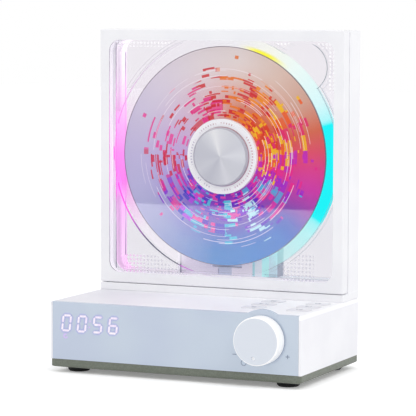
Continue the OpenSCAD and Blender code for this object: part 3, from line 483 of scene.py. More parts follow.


# Painted glow of the bars on the recess floor, by angle: degrees from the right, colour, amount
FLOOR_GLOW = [
    (-180, "#ff9df4", 0.5), (-166, "#ff8af2", 0.55), (-152, "#f9c9f6", 0.5), (-140, "#f6eef9", 0.5),
    (-116, "#f4f0f8", 0.45), (-112, "#dcd4e4", 0.1), (-100, "#d9d4ea", 0.0), (-66, "#c9eef2", 0.0),
    (-60, "#b8f0f2", 0.35), (-40, "#b4f7f8", 0.6), (-33, "#9ff7fa", 0.8), (-31, "#22f6fb", 1.0),
    (17, "#26f8fd", 1.0), (19, "#b0fbff", 0.9), (28, "#d9fdff", 0.8), (50, "#f0fffb", 0.75),
    (64, "#fbfdf0", 0.6), (84, "#f6f8fa", 0.2), (100, "#f1eef6", 0.1), (150, "#f7e6f7", 0.15),
    (168, "#fcc0f6", 0.35), (180, "#ff9df4", 0.5),
]
# Painted light and reflection in the edge that the recess wall shows edge on, by angle
EDGE_LINE = [
    (-180, "#ff6fe6", 0.8), (-150, "#f04fdc", 0.95), (-143, "#a348b8", 0.95),
    (-134, "#3f3f66", 0.95), (-114, "#34384f", 0.95), (-113, "#cf58d2", 1.0),
    (-108, "#c06cc8", 0.9), (-104, "#b9a4c6", 0.5), (-90, "#b9b4c6", 0.3), (0, "#b4c6cc", 0.3),
    (100, "#bfc0cc", 0.45), (140, "#d6bcd8", 0.6), (160, "#f29be8", 0.8), (180, "#ff6fe6", 0.8),
]


# Painted reflection of the recess's lip, seen on the front of the lands, by angle
LIP_LINE = [
    (-180, "#000000", 0.0), (-58, "#000000", 0.0), (-50, "#000000", 0.3), (-34, "#000000", 0.3),
    (-28, "#000000", 0.0), (16, "#000000", 0.0), (20, "#000000", 0.75), (33, "#000000", 0.75),
    (36, "#000000", 0.0), (104, "#000000", 0.0), (112, "#000000", 0.3), (146, "#000000", 0.3),
    (152, "#000000", 0.0), (180, "#000000", 0.0),
]


def tray_lines(tree, axes, radius, turn):
    """Colour and amount of painted light and reflection in the thin lines that the recess wall and the
    rim show edge on.
    """
    wall = near(tree, radius, RECESS_R, 0.3 * MM)
    deep = band(tree, axes["Y"], LAND_Y + 0.6 * MM, LAND_Y + 2.6 * MM, 0.05 * MM)
    colour, amount = by_angle(tree, turn, EDGE_LINE)
    ring = every(tree, wall, deep, amount)
    lobe = near(tree, from_point(tree, axes, *LOBE), LOBE_R, 0.3 * MM)
    outside = step(tree, radius, RECESS_R - 0.2 * MM, RECESS_R + 0.1 * MM)
    shallow = step(tree, axes["Y"], LAND_Y + 0.7 * MM, LAND_Y + 0.9 * MM, 1.0, 0.0)
    right = step(tree, axes["X"], LOBE[0] + 4 * MM, LOBE[0] + 7 * MM)
    lobe = every(tree, lobe, outside, shallow, right)
    # Painted reflection: a dark grey-teal line along the lobe's edge
    colour = blend(tree, lobe, colour, linear("#66787f"))
    on_front = step(tree, axes["Y"], LAND_Y + 0.1 * MM, LAND_Y + 0.3 * MM, 1.0, 0.0)
    rim = every(tree, near(tree, axes["X"], WINDOW_LOW[0] + 0.75 * MM, 0.28 * MM), on_front)
    colour = blend(tree, rim, colour, up_window(tree, axes, LINE_UP))
    lip = either(tree, *[near(tree, radius, RECESS_R + out, 0.2 * MM) for out in LIP_STEPS])
    _, share = by_angle(tree, turn, LIP_LINE)
    lip = every(tree, lip, on_front, share)
    colour = blend(tree, lip, colour, linear("#8b9fa8"))
    marks = [ring, maths(tree, "MULTIPLY", lobe, 0.85), maths(tree, "MULTIPLY", rim, 0.8), lip]
    return colour, either(tree, *marks)


def tray_dots(tree, axes, radius):
    """Moulded dots on the corner lands: some rows at the foot and two at the head."""
    corner = step(tree, radius, RECESS_R + 2.2 * MM, RECESS_R + 2.6 * MM)
    lobe_free = step(tree, from_point(tree, axes, *LOBE), LOBE_R + 1.6 * MM, LOBE_R + 2 * MM)
    on_front = step(tree, axes["Y"], LAND_Y + 0.1 * MM, LAND_Y + 0.3 * MM, 1.0, 0.0)
    left = band(tree, axes["X"], WINDOW_LOW[0] + 5.6 * MM, -20 * MM, 0.05 * MM)
    foot_left = every(tree, left, step(tree, axes["Z"], 57.6 * MM, 57.9 * MM, 1.0, 0.0))
    right = band(tree, axes["X"], 34 * MM, 52.6 * MM, 0.05 * MM)
    foot_right = every(tree, right, step(tree, axes["Z"], 61.8 * MM, 62.1 * MM, 1.0, 0.0))
    head = step(tree, axes["Z"], WINDOW_HIGH[1] - 3.9 * MM, WINDOW_HIGH[1] - 3.6 * MM)
    side = step(tree, axes["X"], 59.4 * MM, 59.7 * MM)
    side = every(tree, side, step(tree, axes["Z"], 150 * MM, 152 * MM))
    places = every(tree, either(tree, foot_left, foot_right, head, side), corner, lobe_free, on_front)
    # Painted light: the dots at the left take the pink of the left bar
    pink = step(tree, axes["X"], -58 * MM, -44 * MM, 1.0, 0.0)
    low = blend(tree, pink, linear("#c6c4d0"), linear("#ecb4e6"))
    colour = blend(tree, step(tree, axes["Z"], 100 * MM, 110 * MM), low, linear("#ffffff"))
    return colour, every(tree, places, dots(tree, axes, DOT_PITCH, DOT_R), 0.7)


def lit_tray(name):
    """Clear tray with coloured light fed in at its edges, painted as emission: the recess round the disc
    glows.
    """
    made, tree = new_material(name)
    axes, radius, turn = around_disc(tree)
    glow, amount = by_angle(tree, turn, FLOOR_GLOW)
    ring = band(tree, radius, DISC_R - 6 * MM, RECESS_R - 0.4 * MM, 0.2 * MM)
    lit = every(tree, amount, ring)
    # Painted yellow glow hugging the disc's edge near the top right
    hug = band(tree, turn, turn_of(58), turn_of(78), 0.02)
    close = step(tree, radius, DISC_R + 0.6 * MM, DISC_R + 2.4 * MM, 1.0, 0.0)
    yellow = every(tree, hug, close)
    glow = blend(tree, yellow, glow, linear("#fff94e"))
    lit = either(tree, lit, every(tree, yellow, ring))
    base = clear_shader(tree, "#fcfcfd", SHEET_IOR, 0.0, 0.5, "#e9e6f0")
    for colour, mask in (tray_dots(tree, axes, radius), tray_lines(tree, axes, radius, turn)):
        # Painted light: the dots and lines glow
        inputs = {"Base Color": colour, "Roughness": 0.5, "Emission Color": colour}
        inputs["Emission Strength"] = MARK_GLOW
        mark = add(tree, "BsdfPrincipled", inputs).outputs[0]
        base = add(tree, "MixShader", {0: mask, 1: base, 2: mark}).outputs[0]
    light = add(tree, "Emission", {"Color": glow, "Strength": 1.0}).outputs[0]
    output(tree, add(tree, "MixShader", {0: lit, 1: base, 2: light}).outputs[0])
    return made


# Disc

# Layers of the print. Each: inner and outer radius and width of a ring in mm, arcs in a turn,
# share printed, thinnest and thickest stroke as part of a ring, how solid the ink is
ARC_LAYERS = [
    (20.6, 48.0, 4.1, 8, 0.7, 0.34, 0.5, 0.85),
    (21.0, 51.0, 2.6, 12, 0.66, 0.24, 0.48, 1.0),
    (20.6, 47.0, 1.3, 20, 0.55, 0.22, 0.46, 1.0),
    (27.0, 56.0, 2.4, 62, 0.18, 0.32, 0.44, 1.0),
]
HAIR_LAYERS = [
    (24.0, 57.0, 1.9, 7, 0.5, 0.05, 0.09, 0.75),
    (30.0, 58.5, 3.1, 11, 0.3, 0.04, 0.07, 0.6),
]
# Inks round the turn, in degrees from the right
ARC_INKS = [
    (-180, "#d8259a"), (-172, "#8b34d0"), (-163, "#e2359e"), (-154, "#3a3cc6"), (-145, "#b93be0"),
    (-137, "#53b7dc"), (-128, "#e83aa6"), (-119, "#4a2cc4"), (-110, "#43bfdc"), (-101, "#e23cae"),
    (-92, "#7d1ccc"), (-83, "#b8e4f0"), (-74, "#5a10c0"), (-65, "#de23a4"), (-55, "#3ea6da"),
    (-46, "#a012c8"), (-36, "#e8178c"), (-26, "#c31bb8"), (-16, "#f2b213"), (-6, "#e31c6a"),
    (4, "#ee5a12"), (14, "#f4b90f"), (23, "#dd3312"), (32, "#f08a16"), (43, "#d6202a"),
    (56, "#ea7410"), (72, "#d3161f"), (92, "#e52a84"), (112, "#d41c2c"), (132, "#ea3f9c"),
    (156, "#d2204a"),
]


# How crowded the strokes are, by angle
CROWDING = [
    (-180, 0.7), (-150, 0.8), (-110, 0.9), (-70, 1.1), (-30, 1.25), (10, 1.35), (50, 1.3),
    (85, 0.95), (120, 0.7), (150, 0.6), (180, 0.7),
]


def arcs(tree, radius, turn, layer, seed):
    """Strokes along rings about the disc's axis, each with a chance place, length and width."""
    inner, outer, pitch, count, share, thin, thick, solid = layer
    across = maths(tree, "DIVIDE", maths(tree, "SUBTRACT", radius, inner * MM), pitch * MM)
    ring = maths(tree, "FLOOR", across)
    shift = add(tree, "TexWhiteNoise", {"W": maths(tree, "ADD", ring, seed + 0.5)}, noise_dimensions="1D")
    along = maths(tree, "MULTIPLY", maths(tree, "ADD", turn, shift.outputs["Value"]), float(count))
    cell = {"X": ring, "Y": maths(tree, "FLOOR", along), "Z": float(seed)}
    cell = add(tree, "CombineXYZ", cell).outputs[0]
    chance = add(tree, "TexWhiteNoise", {"Vector": cell}, noise_dimensions="3D")
    split = add(tree, "SeparateXYZ", {"Vector": chance.outputs["Color"]}).outputs
    u = maths(tree, "ABSOLUTE", maths(tree, "SUBTRACT", maths(tree, "FRACT", along), 0.5))
    v = maths(tree, "ABSOLUTE", maths(tree, "SUBTRACT", maths(tree, "FRACT", across), 0.5))
    inside = maths(tree, "LESS_THAN", u, step(tree, split["Y"], 0.0, 1.0, 0.14, 0.5))
    width = step(tree, split["Z"], 0.0, 1.0, thin, thick)
    inside = every(tree, inside, maths(tree, "LESS_THAN", v, width))
    crowding = [(turn_of(angle), (1.0, 1.0, 1.0, amount)) for angle, amount in CROWDING]
    _, crowd = ramp(tree, turn, crowding)
    fade = step(tree, radius, (inner + 6) * MM, (outer + 2) * MM, 1.0, 0.22)
    shown = maths(tree, "LESS_THAN", chance.outputs["Value"], every(tree, crowd, fade, share))
    zone = band(tree, radius, inner * MM, outer * MM, 0.05 * MM)
    strength = step(tree, split["X"], 0.0, 1.0, solid * 0.88, solid)
    return split["X"], every(tree, inside, shown, zone, strength)


RIM_GROUND = [
    (-180, "#c0b8dd"), (-160, "#b8b4dc"), (-140, "#a4a6d0"), (-118, "#7c90c8"), (-95, "#1c76c0"),
    (-72, "#0474c4"), (-52, "#0e6ac2"), (-42, "#3c5abc"), (-32, "#8e44b0"), (-18, "#d030a8"),
    (-6, "#de3a8c"), (4, "#e04c68"), (16, "#d8684c"), (34, "#d4a694"), (55, "#dec2b6"),
    (80, "#e6d8d6"), (105, "#e4d8dc"), (135, "#dacfe0"), (160, "#ccc2de"), (180, "#c0b8dd"),
]
CORE_GROUND = [
    (-180, "#c2a4dc"), (-150, "#9a7ad2"), (-110, "#7c38be"), (-80, "#8a1cb4"), (-50, "#9c1cae"),
    (-25, "#c8209c"), (0, "#dc2858"), (20, "#d63a1e"), (45, "#d8562a"), (75, "#d88a72"),
    (100, "#dcaab0"), (140, "#d2b4d2"), (180, "#c2a4dc"),
]


def printed_disc(name):
    """Screen-printed polycarbonate: a soft rainbow ground, rings of strokes, a mirror gloss and a faint
    painted glow.
    """
    made, tree = new_material(name)
    _, radius, turn = around_disc(tree)
    outer, _ = ramp(tree, turn, [(turn_of(angle), linear(code)) for angle, code in RIM_GROUND])
    inner, _ = ramp(tree, turn, [(turn_of(angle), linear(code)) for angle, code in CORE_GROUND])
    ground = blend(tree, step(tree, radius, 24 * MM, 54 * MM), inner, outer)
    inks = [(turn_of(angle), linear(code)) for angle, code in ARC_INKS]
    for seed, layer in enumerate(ARC_LAYERS):
        pick, mask = arcs(tree, radius, turn, layer, seed + 3)
        at = maths(tree, "FRACT", maths(tree, "ADD", turn, step(tree, pick, 0.0, 1.0, 0.94, 1.06)))
        colour, _ = ramp(tree, at, inks, "CONSTANT")
        ground = blend(tree, mask, ground, colour)
    for seed, layer in enumerate(HAIR_LAYERS):
        _, mask = arcs(tree, radius, turn, layer, seed + 21)
        ground = blend(tree, mask, ground, linear("#fdf4fb"))
    edge = step(tree, radius, DISC_R - 0.5 * MM, DISC_R - 0.25 * MM, 0.0, 0.85)
    ground = blend(tree, edge, ground, linear("#5a4a5e"))
    grain = noise(tree, 0.5 * MM, 2.0)
    inputs = {"Base Color": ground, "Roughness": step(tree, grain, 0.3, 0.7, 0.4, 0.5), "IOR": 1.45}
    # Painted light: the print glows a little
    inputs["Emission Color"] = ground
    inputs["Emission Strength"] = 0.16
    inputs["Coat Weight"] = 1.0
    inputs["Coat IOR"] = 2.2
    inputs["Coat Roughness"] = 0.02
    output(tree, add(tree, "BsdfPrincipled", inputs).outputs[0])
    return made


CAP_LOW, CAP_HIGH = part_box("clamp_cap")
CAP_R = (CAP_HIGH.x - CAP_LOW.x) / 2
CIRCLES_PER_METRE = 6000.0
MARKS_ROUND = 72.0
RING_INKS = [
    (-180, "#8f7fb4", 1.0), (-120, "#8a7cae", 1.0), (-70, "#a95a9c", 1.0), (-20, "#b8486e", 1.0),
    (40, "#bc4550", 1.0), (90, "#b0606c", 1.0), (150, "#9a80a8", 1.0), (180, "#8f7fb4", 1.0),
]


def turned_cap(name):
    """Satin aluminium faced on a lathe: fine circles, a painted sheen that turns with the angle, and
    painted shade round its rim.
    """
    made, tree = new_material(name)
    _, radius, turn = around_disc(tree)
    outward = add(tree, "CombineXYZ", {"X": maths(tree, "MULTIPLY", radius, CIRCLES_PER_METRE)})
    rings = noise(tree, 1.0, 3.0, outward.outputs[0])
    # Painted sheen: colour by angle that stands in for the light on the cap
    painted_sheen = [
        (-180, "#cccdd8"), (-150, "#d4d5de"), (-120, "#c6c7d3"), (-95, "#cfd0da"), (-72, "#e0e0e8"),
        (-52, "#d6d7df"), (-20, "#d8d9e2"), (5, "#e6e7ee"), (30, "#d9dae3"), (62, "#dfe0e7"),
        (88, "#e8e8ee"), (105, "#f4f4f7"), (122, "#e0e1e8"), (150, "#d0d1db"), (180, "#cccdd8"),
    ]
    colour, _ = ramp(tree, turn, [(turn_of(angle), linear(code)) for angle, code in painted_sheen])
    fine = step(tree, rings, 0.3, 0.7, 0.0, 0.12)
    colour = blend(tree, fine, colour, linear("#a9abb8"))
    # Painted shade round the rim
    rim = step(tree, radius, CAP_R - 1.1 * MM, CAP_R - 0.6 * MM, 0.0, 0.5)
    colour = blend(tree, rim, colour, linear("#8f8a9c"))
    inputs = {"Base Color": colour, "Metallic": 0.14, "Roughness": 0.42, "Anisotropic": 0.6}
    inputs["Normal"] = bump(tree, rings, 0.004 * MM)
    output(tree, add(tree, "BsdfPrincipled", inputs).outputs[0])
    return made


def ring_plastic(name):
    """White acetal ring with fine index marks in a muted print and a painted red-violet reflection round
    the cap.
    """
    made, tree = new_material(name)
    _, radius, turn = around_disc(tree)
    along = maths(tree, "FRACT", maths(tree, "MULTIPLY", turn, MARKS_ROUND))
    tick = maths(tree, "LESS_THAN", along, 0.42)
    zone = band(tree, radius, 17.8 * MM, 18.7 * MM, 0.05 * MM)
    gap = noise(tree, 7 * MM, 0.0)
    mask = every(tree, tick, zone, step(tree, gap, 0.42, 0.46))
    fine = noise(tree, 0.8 * MM, 2.0)
    marks, _ = by_angle(tree, turn, RING_INKS)
    colour = blend(tree, maths(tree, "MULTIPLY", mask, 0.55), linear("#f7f6fa"), marks)
    # Painted reflection of the disc's print in the cap's bevel
    painted_shade_and_reflection = band(tree, radius, CAP_R - 0.5 * MM, CAP_R + 0.38 * MM, 0.08 * MM)
    colour = blend(tree, maths(tree, "MULTIPLY", painted_shade_and_reflection, 0.8), colour, marks)
    inputs = {"Base Color": colour, "Roughness": 0.4, "Normal": bump(tree, fine, 0.008 * MM)}
    output(tree, add(tree, "BsdfPrincipled", inputs).outputs[0])
    return made


def two_tone_knob(name, face, side):
    """Knob moulded in white with a blue-grey face, darker than its rim, which a faint painted glow
    brightens.
    """
    made, tree = new_material(name)
    axes = add(tree, "SeparateXYZ", {"Vector": place(tree)}).outputs
    low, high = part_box("volume_knob")
    middle = (low + high) / 2
    radius = from_point(tree, axes, middle.x, middle.z)
    on_face = step(tree, axes["Y"], low.y + 0.5 * MM, low.y + 0.9 * MM, 1.0, 0.0)
    edge = (high.x - low.x) / 2
    on_face = every(tree, on_face, step(tree, radius, edge - 0.9 * MM, edge - 0.3 * MM, 1.0, 0.0))
    fine = noise(tree, GRAIN, 3.0)
    colour = blend(tree, on_face, linear(side), linear(face))
    inputs = {"Base Color": colour, "Roughness": 0.42, "IOR": 1.53}
    inputs["Normal"] = bump(tree, fine, 0.012 * MM)
    # Painted light: a faint glow on the rim
    inputs["Emission Color"] = linear(side)
    inputs["Emission Strength"] = step(tree, on_face, 0.0, 1.0, 0.07, 0.0)
    output(tree, add(tree, "BsdfPrincipled", inputs).outputs[0])
    return made


# Colour across the front plate in mm; the cyan bands are painted light of the cyan bar
PLATE_ACROSS = [
    (-31.0, "#f2f0f6"), (-29.2, "#f2f0f6"), (-29.1, "#5c5a76"), (-28.5, "#5c5a76"),
    (-28.4, "#ddd5e3"), (-6.3, "#d8d0df"), (-6.2, "#b9bdce"), (1.8, "#b9bdce"), (1.9, "#e2dae4"),
    (14.4, "#ded7e2"), (14.5, "#a2cfd6"), (15.7, "#a2cfd6"), (15.8, "#d8dfe7"), (20.0, "#d8dfe7"),
    (20.1, "#b8f0ee"), (24.1, "#b8f0ee"), (24.2, "#c0d8e2"), (30.2, "#c0d8e2"), (30.3, "#aeeaf0"),
    (31.0, "#aeeaf0"),
]


FLEX_ACROSS = [(-31.0, "#b9bdce"), (31.0, "#b9bdce")]


def lilac_plate(name, stops, low, high):
    """Pale lilac moulding with painted light: the cyan bar's light in upright bands where the stops hold
    them, an even painted glow, and painted shade towards the window's foot.
    """
    made, tree = new_material(name)
    axes = add(tree, "SeparateXYZ", {"Vector": place(tree)}).outputs
    fine = noise(tree, 0.7 * MM, 3.0)
    share = step_straight(tree, axes["X"], low * MM, high * MM)
    colour, _ = ramp(tree, share, [((at - low) / (high - low), linear(code)) for at, code in stops])
    # Painted shade towards the window's foot
    foot = step(tree, axes["Z"], WINDOW_LOW[1] + 2 * MM, WINDOW_LOW[1] + 8 * MM, 0.14, 0.0)
    colour = blend(tree, foot, colour, linear("#8f93aa"))
    # Painted glow over the whole part
    inputs = {"Base Color": colour, "Roughness": 0.5, "Emission Color": colour, "Emission Strength": 0.5}
    inputs["Normal"] = bump(tree, fine, 0.01 * MM)
    output(tree, add(tree, "BsdfPrincipled", inputs).outputs[0])
    return made


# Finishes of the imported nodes

ALONG_X = (0.05, 1.0, 1.0)
ALONG_Z = (1.0, 1.0, 0.05)

CYAN_UP = [
    (0.0, "#e4f6f8"), (0.1, "#c8f6f8"), (0.2, "#7df4ff"), (0.62, "#7df4ff"), (0.7, "#c8f8fc"),
    (1.0, "#eef8fa"),
]

FINISHES = {
    "bottom_plate": painted_plate("Olive_Satin_Paint", "#757b6f", "#696f63"),
    "top": moulded_plastic("White_ABS_Top", "#fcfcfe", "#f8f8fb", 0.42, spill=top_shade),
    "rubber_feet": rubber("Black_Moulded_Rubber", "#2a2b2e", "#141517"),
    "housing": moulded_plastic("White_ABS_Base", "#f6f6fa", "#f1f1f6", 0.42),
    "case": moulded_plastic("White_ABS_Upright", "#f7f7fa", "#f3f3f7", 0.4, spill=reveal_spill),
    "door": moulded_plastic("White_ABS_Door", "#f5f5f8", "#f1f1f5", 0.38, spill=reveal_spill),
    "keys": moulded_plastic("White_ABS_Keys", "#f3f3f7", "#eeeef3", 0.45),
    "knob": two_tone_knob("Pale_ABS_Knob", "#dde3ec", "#ffffff"),
    "dark_plastic": moulded_plastic("Black_ABS", "#34373c", "#2a2c30", 0.5),
    "column": moulded_plastic("Grey_Lilac_ABS", "#c6c8d6", "#bcbecd", 0.5, spill=cavity_spill),
    "plate": lilac_plate("Lilac_ABS_Plate", PLATE_ACROSS, -31.0, 31.0),
    "flex": lilac_plate("Grey_Polyester_Cable", FLEX_ACROSS, -31.0, 31.0),
    "cone": rubber("Coated_Paper_Cone", "#5c5f66", "#4b4e54"),
    "fascia": tinted_panel("Blue_Grey_Polycarbonate", "#c6d2e0", "#bfcadd", shade=knob_painted_shadow),
    "steel": brushed_metal("Rolled_Steel", "#c8cad0", "#b2b5bc", 0.38, ALONG_X),
    "motor": brushed_metal("Drawn_Steel_Can", "#b4b7bd", "#9fa3aa", 0.35, ALONG_Z),
    "rail": brushed_metal("Ground_Steel_Rod", "#d9dbdf", "#c2c5ca", 0.22, ALONG_Z),
    "brass": brushed_metal("Turned_Brass", "#cfae63", "#b8954a", 0.3, ALONG_X),
    "plated": plated_metal("Nickel_Plate", "#cfd1d5", 0.2),
    "board": circuit_board("Green_Circuit_Board"),
    "battery": tinted_panel("Shrink_Wrap_Blue", "#4f74a8", "#456797"),
    "pane": clear_sheet("Clear_Acrylic_Pane", "#fefefe", PANE_IOR, 0.0, 0.1, "#f2f0f6"),
    "cover": clear_sheet("Clear_Acrylic_Cover", fading_tint, SHEET_IOR, 0.02, 0.5, "#eceaf2"),
    "tray": lit_tray("Edge_Lit_Clear_Tray"),
    "pink": glowing_bar("Pink_Light_Guide", PINK_UP, LINE_UP, 0.7),
    "cyan": glowing_bar("Cyan_Light_Guide", CYAN_UP, CYAN_UP, 0.6),
    "disc": printed_disc("Printed_Disc"),
    "cap": turned_cap("Turned_Aluminium"),
    "ring": ring_plastic("White_Acetal_Ring"),
    "lens": clear_sheet("Coated_Lens", "#8fb0e0", 1.6, 0.3, 0.8, "#3f5fa8"),
}

NODE_FINISH = {
    "bottom_plate": "bottom_plate", "rubber_feet": "rubber_feet", "bottom_screws": "steel",
    "base_housing": "housing", "top_panel": "top", "fascia": "fascia",
    "display_module": "dark_plastic", "potentiometer": "steel", "main_board": "board",
    "battery_pack": "battery", "speaker_baskets": "dark_plastic", "speaker_cones": "cone",
    "usb_port": "plated", "audio_jack": "dark_plastic", "switch_body": "dark_plastic",
    "key_board": "board", "key_switches": "dark_plastic", "rear_case": "case",
    "hinge_pins": "plated", "case_magnets": "plated", "rear_cover": "cover", "disc_tray": "tray",
    "light_bar_left": "pink", "light_bar_right": "cyan", "mechanism_cover": "column",
    "mechanism_front": "plate", "mechanism_chassis": "steel", "damper_grommets": "rubber_feet",
    "mechanism_screws": "steel", "spindle_motor": "motor", "sled_rails": "rail",
    "sled_motor": "motor", "flex_cable": "flex", "door_frame": "door", "door_window": "pane",
    "door_magnets": "plated", "disc": "disc", "clamp_ring": "ring", "clamp_cap": "cap",
    "clamp_magnet": "plated", "turntable": "dark_plastic", "spindle_shaft": "rail",
    "laser_sled": "dark_plastic", "laser_lens": "lens", "lead_screw": "brass",
    "volume_knob": "knob", "knob_shaft": "rail", "mode_switch": "dark_plastic", "key_play": "keys",
    "key_stop": "keys", "key_previous": "keys", "key_next": "keys", "key_mode": "keys",
    "key_repeat": "keys",
}


def dress_nodes():
    """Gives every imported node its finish."""
    for name, finish in NODE_FINISH.items():
        slots = NODES[name].data.materials
        slots.clear()
        slots.append(FINISHES[finish])


dress_nodes()


# Display, marks and key signs

FASCIA_LOW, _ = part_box("fascia")
DIGIT_LOW, DIGIT_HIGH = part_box("display_module")
DIGIT_W = 5.6 * MM
DIGIT_H = 9.2 * MM
DIGIT_PITCH = 9.25 * MM
DIGIT_LEAN = 0.12
SEGMENT = 1.1 * MM
HALO = 3.0 * MM
FILM = 0.06 * MM
DIGITS_RIGHT = 0.5 * MM
DIGITS_UP = 1.5 * MM
COLON_DOT = 0.9 * MM
COLON_RISE = 1.6 * MM
MODE_DOWN = 7.0 * MM
# Lit segments: top, top left, top right, middle, bottom left, bottom right, bottom
SEGMENTS = {
    "0": "1110111",
    "5": "1101011",
    "6": "1101111",
}
SHOWN = "0056"


def thin_piece(name, outlines, to_point, body, material):
    """Flat outlines in the plane of a face, raised by the thickness of a print film."""
    vertices = []
    faces = []
    for outline in outlines:
        start = len(vertices)
        count = len(outline)
        for lift in (0.0, FILM):
            vertices.extend(to_point(u, v, lift) for u, v in outline)
        faces.append([start + count + i for i in range(count)])
        for i in range(count):
            after = (i + 1) % count
            faces.append([start + i, start + after, start + count + after, start + count + i])
    mesh = bpy.data.meshes.new(name)
    mesh.from_pydata(vertices, [], faces)
    mesh.update()
    made = bpy.data.objects.new(name, mesh)
    bpy.context.scene.collection.objects.link(made)
    made.data.materials.append(material)
    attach(made, body)
    return made


def on_fascia(u, v, lift):
    """A point on the fascia's front, u to the right and v up."""
    return (u, FASCIA_LOW.y - lift, v)


def under_digits(u, v, lift):
    """A point on the fascia's front, under the digits' own film."""
    return (u, FASCIA_LOW.y - lift / 3, v)


def bar_outline(cx, cz, length, lying, width):
    """One segment of a digit as a bar with pointed ends."""
    a = length / 2 + (width - SEGMENT) / 2
    b = width / 2
    points = [(-a, 0), (-a + b, b), (a - b, b), (a, 0), (a - b, -b), (-a + b, -b)]
    if not lying:
        points = [(z, x) for x, z in points]
    return [(cx + x, cz + z) for x, z in points]


def digit_outlines(sign, cx, cz, width=SEGMENT):
    """The lit segments of one digit, leaning to the right."""
    w = (DIGIT_W - SEGMENT) / 2
    h = (DIGIT_H - SEGMENT) / 2
    wide = 2 * w - 0.3 * MM
    tall = h - 0.3 * MM
    places = [
        (0, h, wide, True), (-w, h / 2, tall, False), (w, h / 2, tall, False), (0, 0, wide, True),
        (-w, -h / 2, tall, False), (w, -h / 2, tall, False), (0, -h, wide, True),
    ]
    made = []
    for lit, (x, z, length, lying) in zip(SEGMENTS[sign], places):
        if lit == "1":
            outline = bar_outline(x, z, length, lying, width)
            made.append([(cx + px + DIGIT_LEAN * pz, cz + pz) for px, pz in outline])
    return made


def lit_segment(name):
    """Light of the display through the tinted panel: pinkish white, a little uneven."""
    made, tree = new_material(name)
    spread = noise(tree, 2.2 * MM, 1.0)
    colour = blend(tree, step(tree, spread, 0.3, 0.7), linear("#f0e0fb"), linear("#fff8ff"))
    output(tree, add(tree, "Emission", {"Color": colour, "Strength": 1.0}).outputs[0])
    return made


def display_haze(name, colour, amount):
    """Glow that the tinted panel scatters round a lit segment."""
    made, tree = new_material(name)
    cloud = noise(tree, 3 * MM, 1.0)
    clear = add(tree, "BsdfTransparent").outputs[0]
    glow = add(tree, "Emission", {"Color": linear(colour), "Strength": 1.0}).outputs[0]
    share = step(tree, cloud, 0.2, 0.8, amount * 0.7, amount)
    output(tree, add(tree, "MixShader", {0: share, 1: clear, 2: glow}).outputs[0])
    return made


def print_ink(name, colour):
    """Screen-printed ink: flat, thin, with a slightly broken edge."""
    made, tree = new_material(name)
    broken = noise(tree, 0.4 * MM, 2.0)
    shade = blend(tree, step(tree, broken, 0.3, 0.7, 0.0, 0.3), linear(colour), linear("#d5dae2"))
    output(tree, add(tree, "BsdfPrincipled", {"Base Color": shade, "Roughness": 0.6}).outputs[0])
    return made


def arc_band(cx, cz, r, width, start, sweep, count=20):
    """A bent strip of even width."""
    steps = [start + sweep * i / count for i in range(count + 1)]
    outer = [(cx + (r + width / 2) * math.cos(a), cz + (r + width / 2) * math.sin(a)) for a in steps]
    inner = [(cx + (r - width / 2) * math.cos(a), cz + (r - width / 2) * math.sin(a)) for a in steps]
    return outer + inner[::-1]


def box_outline(cx, cz, w, h):
    left, right = cx - w / 2, cx + w / 2
    low, high = cz - h / 2, cz + h / 2
    return [(left, low), (right, low), (right, high), (left, high)]


def make_display():
    """Four digits that shine through the fascia's left part."""
    glow = lit_segment("Display_Light")
    haze = display_haze("Display_Haze", "#bdbfea", 0.5)
    faint = display_haze("Display_Faint_Light", "#e2c8fb", 0.75)
    first = DIGIT_LOW.x + DIGIT_PITCH / 2 + DIGITS_RIGHT
    middle = (DIGIT_LOW.z + DIGIT_HIGH.z) / 2 + DIGITS_UP
    for i, sign in enumerate(SHOWN):
        outlines = digit_outlines(sign, first + i * DIGIT_PITCH, middle)
        thin_piece(f"display_digit_{i + 1}", outlines, on_fascia, "player", glow)
        soft = digit_outlines(sign, first + i * DIGIT_PITCH, middle, HALO)
        thin_piece(f"display_glow_{i + 1}", soft, under_digits, "player", haze)
    colon_x = first + 1.5 * DIGIT_PITCH
    colon = []
    for z in (-COLON_RISE, COLON_RISE):
        colon.append(box_outline(colon_x + DIGIT_LEAN * z, middle + z, COLON_DOT, COLON_DOT))
    thin_piece("display_colon", colon, on_fascia, "player", faint)
    start, sweep = math.radians(50), math.radians(300)
    mode = [arc_band(first - 0.6 * MM, middle - MODE_DOWN, 1.0 * MM, 0.8 * MM, start, sweep)]
    thin_piece("display_mode", mode, on_fascia, "player", faint)


# Marks on the fascia, to the right of the knob's middle and above it
OFF_RING = (-10.0 * MM, -12.6 * MM)
LESS_MARK = (-15.2 * MM, -8.5 * MM)
MORE_MARK = (14.4 * MM, -8.0 * MM)
MARK_LINE = 0.45 * MM
MARK_SPAN = 2.2 * MM


def make_fascia_marks():
    """Off ring, minus and plus round the knob."""
    ink = print_ink("Grey_Fascia_Print", "#8191ab")
    low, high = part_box("volume_knob")
    x = (low.x + high.x) / 2
    z = (low.z + high.z) / 2
    start, sweep = math.radians(100), math.radians(340)
    ring = [arc_band(x + OFF_RING[0], z + OFF_RING[1], 1.4 * MM, MARK_LINE, start, sweep)]
    thin_piece("mark_off", ring, on_fascia, "player", ink)
    minus = [box_outline(x + LESS_MARK[0], z + LESS_MARK[1], MARK_SPAN, MARK_LINE)]
    thin_piece("mark_less", minus, on_fascia, "player", ink)
    cx, cz = x + MORE_MARK[0], z + MORE_MARK[1]
    plus = [box_outline(cx, cz, MARK_SPAN, MARK_LINE), box_outline(cx, cz, MARK_LINE, MARK_SPAN)]
    thin_piece("mark_more", plus, on_fascia, "player", ink)


def triangle(cx, cz, size, way=1):
    half = size / 2
    return [(cx - way * half, cz - half), (cx + way * half, cz), (cx - way * half, cz + half)]


